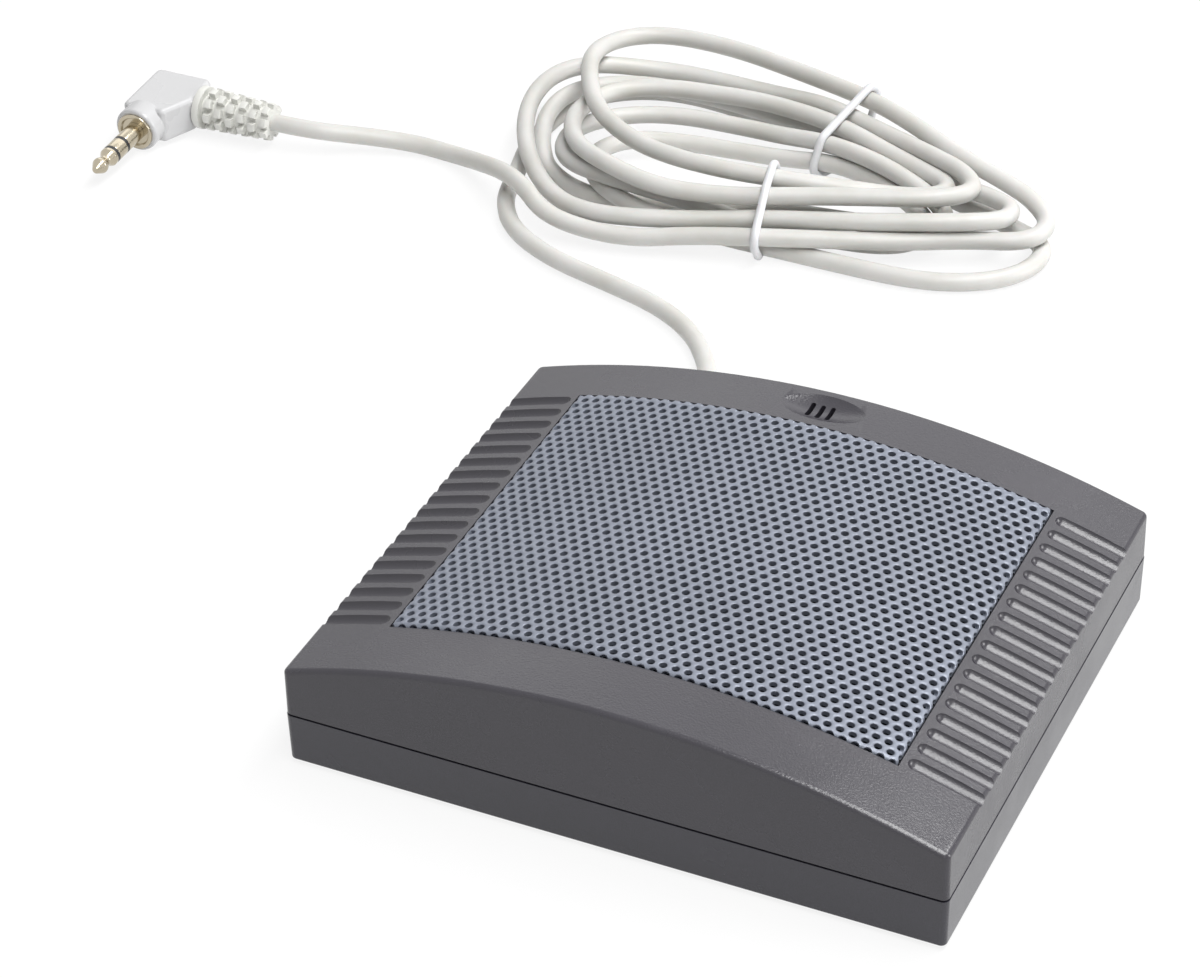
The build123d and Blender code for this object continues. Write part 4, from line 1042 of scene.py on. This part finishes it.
@dataclass
class GrilleSheet:
    """Sheet bent to the arch, with round holes in a staggered pattern.

    Sizes are in millimetres. Every hole has its own six-sided cell, and the cells
    are welded into one sheet.
    """

    width: float = 76.9
    depth: float = 63.3
    centre_y: float = 0.7
    thickness: float = 0.8
    rim: float = 1.15
    bend: float = 0.55
    pitch: float = 1.88
    row_pitch: float = 1.6225
    first_column: float = 0.565
    first_row: float = 0.528
    rows_each_way: int = 24
    columns_each_way: int = 26
    hole_edge: float = 0.5
    hole_radius: float = 0.6
    lip: float = 0.1
    lip_drop: float = 0.08
    arch_radius: float = 153.57
    arch_centre_z: float = -128.37
    proud: float = 0.35

    def cell_outline(self) -> np.ndarray:
        """Outline of a cell about its hole.

        Returns:
            Its six corners and the middles of its six sides, going round.
        """
        half, third = self.pitch / 2, self.row_pitch / 3
        right = [(half, -third), (half, third), (0, 2 * third)]
        corners = np.array([*right, (-half, third), (-half, -third), (0, -2 * third)])
        middles = (corners + np.roll(corners, -1, axis=0)) / 2
        return np.stack([corners, middles], axis=1).reshape(-1, 2)

    def skin(self) -> tuple[float, float]:
        """Radius of the sheet's outer skin, and half its arc up to the bent edge's face."""
        radius = self.arch_radius + self.proud
        return radius, radius * math.asin(self.width / 2 / radius)

    def limits(self) -> np.ndarray:
        """Half width and half length of the flat sheet, up to its cut edges."""
        halves = np.array([self.skin()[1], self.depth / 2])
        return halves - self.bend + self.bend * math.pi / 2 + self.rim - self.bend

    def centres(self) -> tuple[np.ndarray, np.ndarray]:
        """Places of the cells on the sheet.

        Row j lies at first_row + j times row_pitch. Its columns lie pitch apart from
        first_column on, and half a pitch further in every other row.

        Returns:
            Pairs (u across, v along) in the flat sheet for the cells with a hole, and
            for those without one at the sheet's edge.
        """
        rows, columns = np.meshgrid(
            np.arange(-self.rows_each_way, self.rows_each_way + 1),
            np.arange(-self.columns_each_way, self.columns_each_way + 1),
            indexing="ij",
        )
        u = self.first_column + self.pitch * (columns + 0.5 * (rows % 2))
        v = self.first_row + self.row_pitch * rows
        spots = np.stack([u.reshape(-1), v.reshape(-1)], axis=1)
        near = np.all(np.abs(spots) < self.limits() + self.pitch, axis=1)
        holed = np.all(np.abs(spots) <= self.limits() - self.hole_edge, axis=1)
        return spots[near & holed], spots[near & ~holed]

    def turned_down(
        self, reach: np.ndarray, half: float, below: np.ndarray
    ) -> tuple[np.ndarray, np.ndarray]:
        """Carry a distance from the sheet's middle round the bend at its edge.

        Up to bend before the edge the sheet is flat. Then it goes round a quarter
        circle and straight down. A point under the skin turns on a smaller circle.

        Args:
            reach: distance from the middle, measured in the flat sheet.
            half: distance from the middle to the bent sheet's outer face.
            below: depth under the outer skin.

        Returns:
            Distance from the middle, and how far the point is under the crest.
        """
        start = half - self.bend
        beyond = np.maximum(np.abs(reach) - start, 0.0)
        angle = np.minimum(beyond / self.bend, math.pi / 2)
        straight = np.maximum(beyond - self.bend * math.pi / 2, 0.0)
        inward = self.bend - below
        out = np.where(beyond > 0, start + inward * np.sin(angle), np.abs(reach)) * np.sign(reach)
        return out, np.where(beyond > 0, self.bend - inward * np.cos(angle) + straight, below)

    def placed(self, flat: np.ndarray, below: np.ndarray) -> np.ndarray:
        """Bend the flat sheet to its shape.

        Across, u is the length of arc on the sheet's outer skin, and along, v runs to
        the rear. Both go round a bend at the edges, and their drops are added.

        Args:
            flat: pairs (u, v).
            below: depth under the outer skin for each pair.

        Returns:
            Points in metres.
        """
        radius, half_arc = self.skin()
        across, drop_across = self.turned_down(flat[:, 0], half_arc, below)
        along, drop_along = self.turned_down(flat[:, 1], self.depth / 2, below)
        turn = across / radius
        reach = radius - (drop_across + drop_along - below)
        x = reach * np.sin(turn)
        z = self.arch_centre_z + reach * np.cos(turn)
        return MM * np.stack([x, self.centre_y + along, z], axis=1)

    def bounded(self, local: np.ndarray, spots: np.ndarray) -> np.ndarray:
        """Cell points about each spot, held inside the sheet's rectangle."""
        return np.clip(spots[:, None, :] + local[None, :, :], -self.limits(), self.limits())

    def punched(self, outline: np.ndarray, spots: np.ndarray) -> Surface:
        """Cells with a hole.

        Each is a stack of loops: its outline, the lip round the hole, the hole's two
        ends, and the outline again on the under side.

        Args:
            outline: a cell's outline.
            spots: the cells' places.

        Returns:
            The cells, open at their outlines' sides.
        """
        turn = np.arctan2(outline[:, 1], outline[:, 0])
        ring = np.stack([np.cos(turn), np.sin(turn)], axis=1)
        loops = [
            (outline, 0.0),
            ((self.hole_radius + self.lip) * ring, 0.0),
            (self.hole_radius * ring, self.lip_drop),
            (self.hole_radius * ring, self.thickness),
            (outline, self.thickness),
        ]
        flat = np.stack([self.bounded(loop, spots) for loop, _ in loops], axis=1)
        depths = np.array([depth for _, depth in loops])
        below = np.broadcast_to(depths[None, :, None], flat.shape[:3])
        cell = grid_faces(len(loops), len(outline), round_columns=True)
        faces = cell + (len(loops) * len(outline) * np.arange(len(spots)))[:, None, None]
        return Surface(self.placed(flat.reshape(-1, 2), below.reshape(-1)), faces.reshape(-1, 4))

    def plain(self, outline: np.ndarray, spots: np.ndarray, below: float) -> Surface:
        """One skin of the cells without a hole, as fans about their middles.

        Args:
            outline: a cell's outline.
            spots: the cells' places.
            below: depth of the skin, 0 for the upper one.

        Returns:
            The skin, its faces turned outward.
        """
        count = len(outline)
        around, hub = np.arange(count), np.zeros(count, int)
        fan = np.stack([hub, 1 + around, 1 + (around + 1) % count, hub], axis=1)
        if below > 0:
            fan = fan[:, ::-1]
        flat = self.bounded(np.vstack([np.zeros((1, 2)), outline]), spots).reshape(-1, 2)
        faces = fan + ((count + 1) * np.arange(len(spots)))[:, None, None]
        return Surface(self.placed(flat, np.full(len(flat), below)), faces.reshape(-1, 4))

    def edge_band(self, outline: np.ndarray, spots: np.ndarray) -> Surface:
        """Narrow wall round the sheet's cut edge, from its upper to its lower skin.

        Args:
            outline: a cell's outline, whose points on the edge the wall shares.
            spots: all cells' places.

        Returns:
            The wall as one ring of faces.
        """
        limit = self.limits()
        edge = self.bounded(outline, spots).reshape(-1, 2)
        edge = edge[np.isclose(np.abs(edge), limit).any(axis=1)]
        edge = np.unique(np.round(edge, 6), axis=0)
        sides = []
        for axis, way in ((1, -1), (0, 1), (1, 1), (0, -1)):
            side = edge[np.isclose(edge[:, axis], way * limit[axis])]
            order = way * side[:, 1] if axis == 0 else -way * side[:, 0]
            sides.append(side[np.argsort(order)][:-1])
        ring = np.vstack(sides)
        upper = self.placed(ring, np.zeros(len(ring)))
        lower = self.placed(ring, np.full(len(ring), self.thickness))
        return Surface(np.vstack([lower, upper]), grid_faces(2, len(ring), round_columns=True))

    def build(self) -> None:
        """Punch the sheet, bend it and put it in place of the frame's plain one."""
        outline = self.cell_outline()
        holed, blank = self.centres()
        sheet = self.punched(outline, holed).joined(
            self.plain(outline, blank, 0.0),
            self.plain(outline, blank, self.thickness),
            self.edge_band(outline, np.vstack([holed, blank])),
        )
        fitted(sheet.piece("grille", GRILLE, 40.0), Slot.GRILLE, "grille_panel")


# ---------------------------------------------------------------- housing, plug and the rest


@dataclass
class Housing:
    """Dark two-part case: the arched cover and the base under its shadow line."""

    finishes: tuple[tuple[str, Finish], ...] = (("top_cover", CASE), ("base_shell", BASE))

    def build(self) -> None:
        """Dress both halves with smooth copies."""
        for node, finish in self.finishes:
            smooth_copy(node, finish, Slot.COVER)


@dataclass
class StrainRelief:
    """Flexible sleeve on the cord: rings cut by windows that alternate from ring to ring.

    Sizes are in millimetres, window_half in degrees and side_gap in radians. It lies
    along +X.
    """

    root: Place = (-152.4, 111.09, 4.79)
    length: float = 15.0
    rings: int = 7
    share: float = 0.55
    root_radius: float = 4.0
    tip_radius: float = 3.4
    core_radius: float = 2.5
    windows: int = 8
    window_half: float = 9.0
    edge: float = 0.18
    chamfer: float = 0.3
    sides: int = 48
    side_gap: float = 0.02

    def row(self, distance: float, inset: float, solid: np.ndarray) -> np.ndarray:
        """Radii of one section.

        Args:
            distance: its place along the sleeve.
            inset: how far it lies under the ring's crown, in shares of the edge, or 1
                for the core.
            solid: where the ring has no window.

        Returns:
            The ring's radius less the inset where it is solid, and elsewhere the core's.
        """
        crown = self.root_radius + (self.tip_radius - self.root_radius) * distance / self.length
        height = crown - self.core_radius if inset == 1.0 else inset * self.edge
        return np.where(solid, crown - height, self.core_radius)

    def radii(self, angle: np.ndarray) -> tuple[np.ndarray, np.ndarray]:
        """Radius of each section at each angle.

        A section lies in a ring or between two. Ring k has its windows at the angles
        (k mod 2 / 2 + whole numbers) times a full turn over their count, and there,
        as between the rings, the radius is the core's. The ring at the root has none.

        Args:
            angle: angles round the axis, in radians.

        Returns:
            Distances along the axis, and a table of radii by distance and angle.
        """
        pitch = self.length / (self.rings - 1 + self.share)
        sector = 2 * math.pi / self.windows
        along, rows = [0.0], [np.zeros_like(angle)]
        for ring in range(self.rings):
            start = ring * pitch
            end = start + self.share * pitch
            phase = np.abs((angle / sector - 0.5 * (ring % 2) + 0.5) % 1 - 0.5) * sector
            solid = (phase > math.radians(self.window_half)) | (ring == 0)
            first = [(start, 1.0), (start, self.chamfer), (start + self.edge, 0.0)]
            last = [(end - self.edge, 0.0), (end, self.chamfer), (end, 1.0)]
            for distance, inset in first + last:
                rows.append(self.row(distance, inset, solid))
                along.append(distance)
        along.append(self.length)
        rows.append(np.zeros_like(angle))
        return np.array(along), np.array(rows)

    def build(self) -> bpy.types.Object:
        """Make the sleeve, with angles close together at the windows' sides.

        Returns:
            The sleeve, which stands for the frame's plain rings.
        """
        half_sector = math.pi / self.windows
        half = math.radians(self.window_half)
        inner, outer = half - self.side_gap, half + self.side_gap
        cuts = half_sector * np.arange(2 * self.windows)[:, None] + (-inner, -outer, inner, outer)
        plain = np.linspace(0, 2 * math.pi, self.sides, endpoint=False)
        angle = np.unique(np.round(np.r_[plain, cuts.reshape(-1) % (2 * math.pi)], 5))
        along, radii = self.radii(angle)
        ring = np.stack([np.zeros_like(angle), np.cos(angle), np.sin(angle)], axis=1)
        points = np.array(self.root) + along[:, None, None] * np.array((1.0, 0.0, 0.0))
        points = points + radii[:, :, None] * ring
        faces = grid_faces(len(along), len(angle), round_columns=True)
        sleeve = Surface(MM * points.reshape(-1, 3), faces).piece("strain_relief", RELIEF, 40.0)
        return fitted(sleeve, Slot.PLUG, "plug_strain_relief")


@dataclass(frozen=True)
class Contact:
    """Turned metal piece of the jack: its name, the node it stands for, and its profile.

    A corner is its radius, its distance ahead of the plug's body and its rounding, in
    millimetres.
    """

    name: str
    node: str
    corners: tuple[Corner, ...]


@dataclass
class JackPlug:
    """Right-angle plug: three-contact jack, white body and ribbed strain relief."""

    front: Place = (-159.6, 99.4, 4.3)
    tilt: float = 2.4
    sides: int = 64
    contacts: tuple[Contact, ...] = (
        Contact(
            "jack_tip",
            "plug_tip",
            (
                (0, 9.0, 0), (BARREL, 9.0, 0.03), (BARREL, 9.6, 0.1), (1.1, 10.7, 0.5),
                (1.1, 11.2, 0.4), (1.5, 12.2, 0.5), (1.5, 12.7, 0.5), (0.6, 14.3, 0.4),
                (0, 14.4, 0),
            ),
        ),
        Contact(
            "jack_ring",
            "plug_ring",
            ((0, 5.6, 0), (BARREL, 5.6, 0.06), (BARREL, 8.3, 0.06), (0, 8.3, 0)),
        ),
        Contact(
            "jack_sleeve",
            "plug_sleeve",
            ((0, 0.1, 0), (BARREL, 0.1, 0.0), (BARREL, 4.9, 0.06), (0, 4.9, 0)),
        ),
        Contact(
            "jack_collar",
            "plug_collar",
            (
                (0, 0, 0), (3.5, 0, 0.05), (3.5, 0.5, 0.15), (2.9, 0.5, 0.1),
                (2.6, 0.06, 0.05), (0, 0.06, 0),
            ),
        ),
    )

    def axis(self) -> np.ndarray:
        """Unit vector from the body's front to the jack's tip."""
        angle = math.radians(self.tilt)
        return np.array((0.0, -math.cos(angle), -math.sin(angle)))

    def build(self) -> list[bpy.types.Object]:
        """Make the plug's pieces.

        Returns:
            The pieces that go with the cord.
        """
        pieces = []
        for contact in self.contacts:
            profile = MM * rounded_profile(contact.corners)
            metal = lathe(profile, MM * np.array(self.front), self.axis(), self.sides)
            pieces.append(fitted(metal.piece(contact.name, JACK), Slot.JACK, contact.node))
        pieces.append(smooth_copy("plug_body", PLUG, Slot.PLUG, 40.0))
        pieces.append(StrainRelief().build())
        pieces.append(frame["nodes"]["plug_insulators"])
        log.info("plug: %d pieces", len(pieces))
        return pieces


def dress_nodes() -> None:
    """Give every node of the frame the finish that its slot in the record asks for."""
    slots = {part["node"]: part["material_slot"] for part in frame["record"]["subparts"]}
    for name, item in frame["nodes"].items():
        if not item.material_slots:
            item.data.materials.append(None)
        for place in item.material_slots:
            place.material = FINISHES[Slot(slots[name])].ready()
    log.info("%d nodes finished", len(frame["nodes"]))


def main() -> None:
    """Build the studio and every piece."""
    logging.basicConfig(level=logging.INFO, format="%(name)s: %(message)s")
    StudioCamera().build()
    Studio().build()
    dress_nodes()
    plug_pieces = JackPlug().build()
    cord = CordRun()
    cord.build(plug_pieces)
    line = cord.line()
    for tie in TIES:
        tie.build(line, MM * cord.radius)
    Housing().build()
    GrilleSheet().build()


if __name__ == "__main__":
    main()
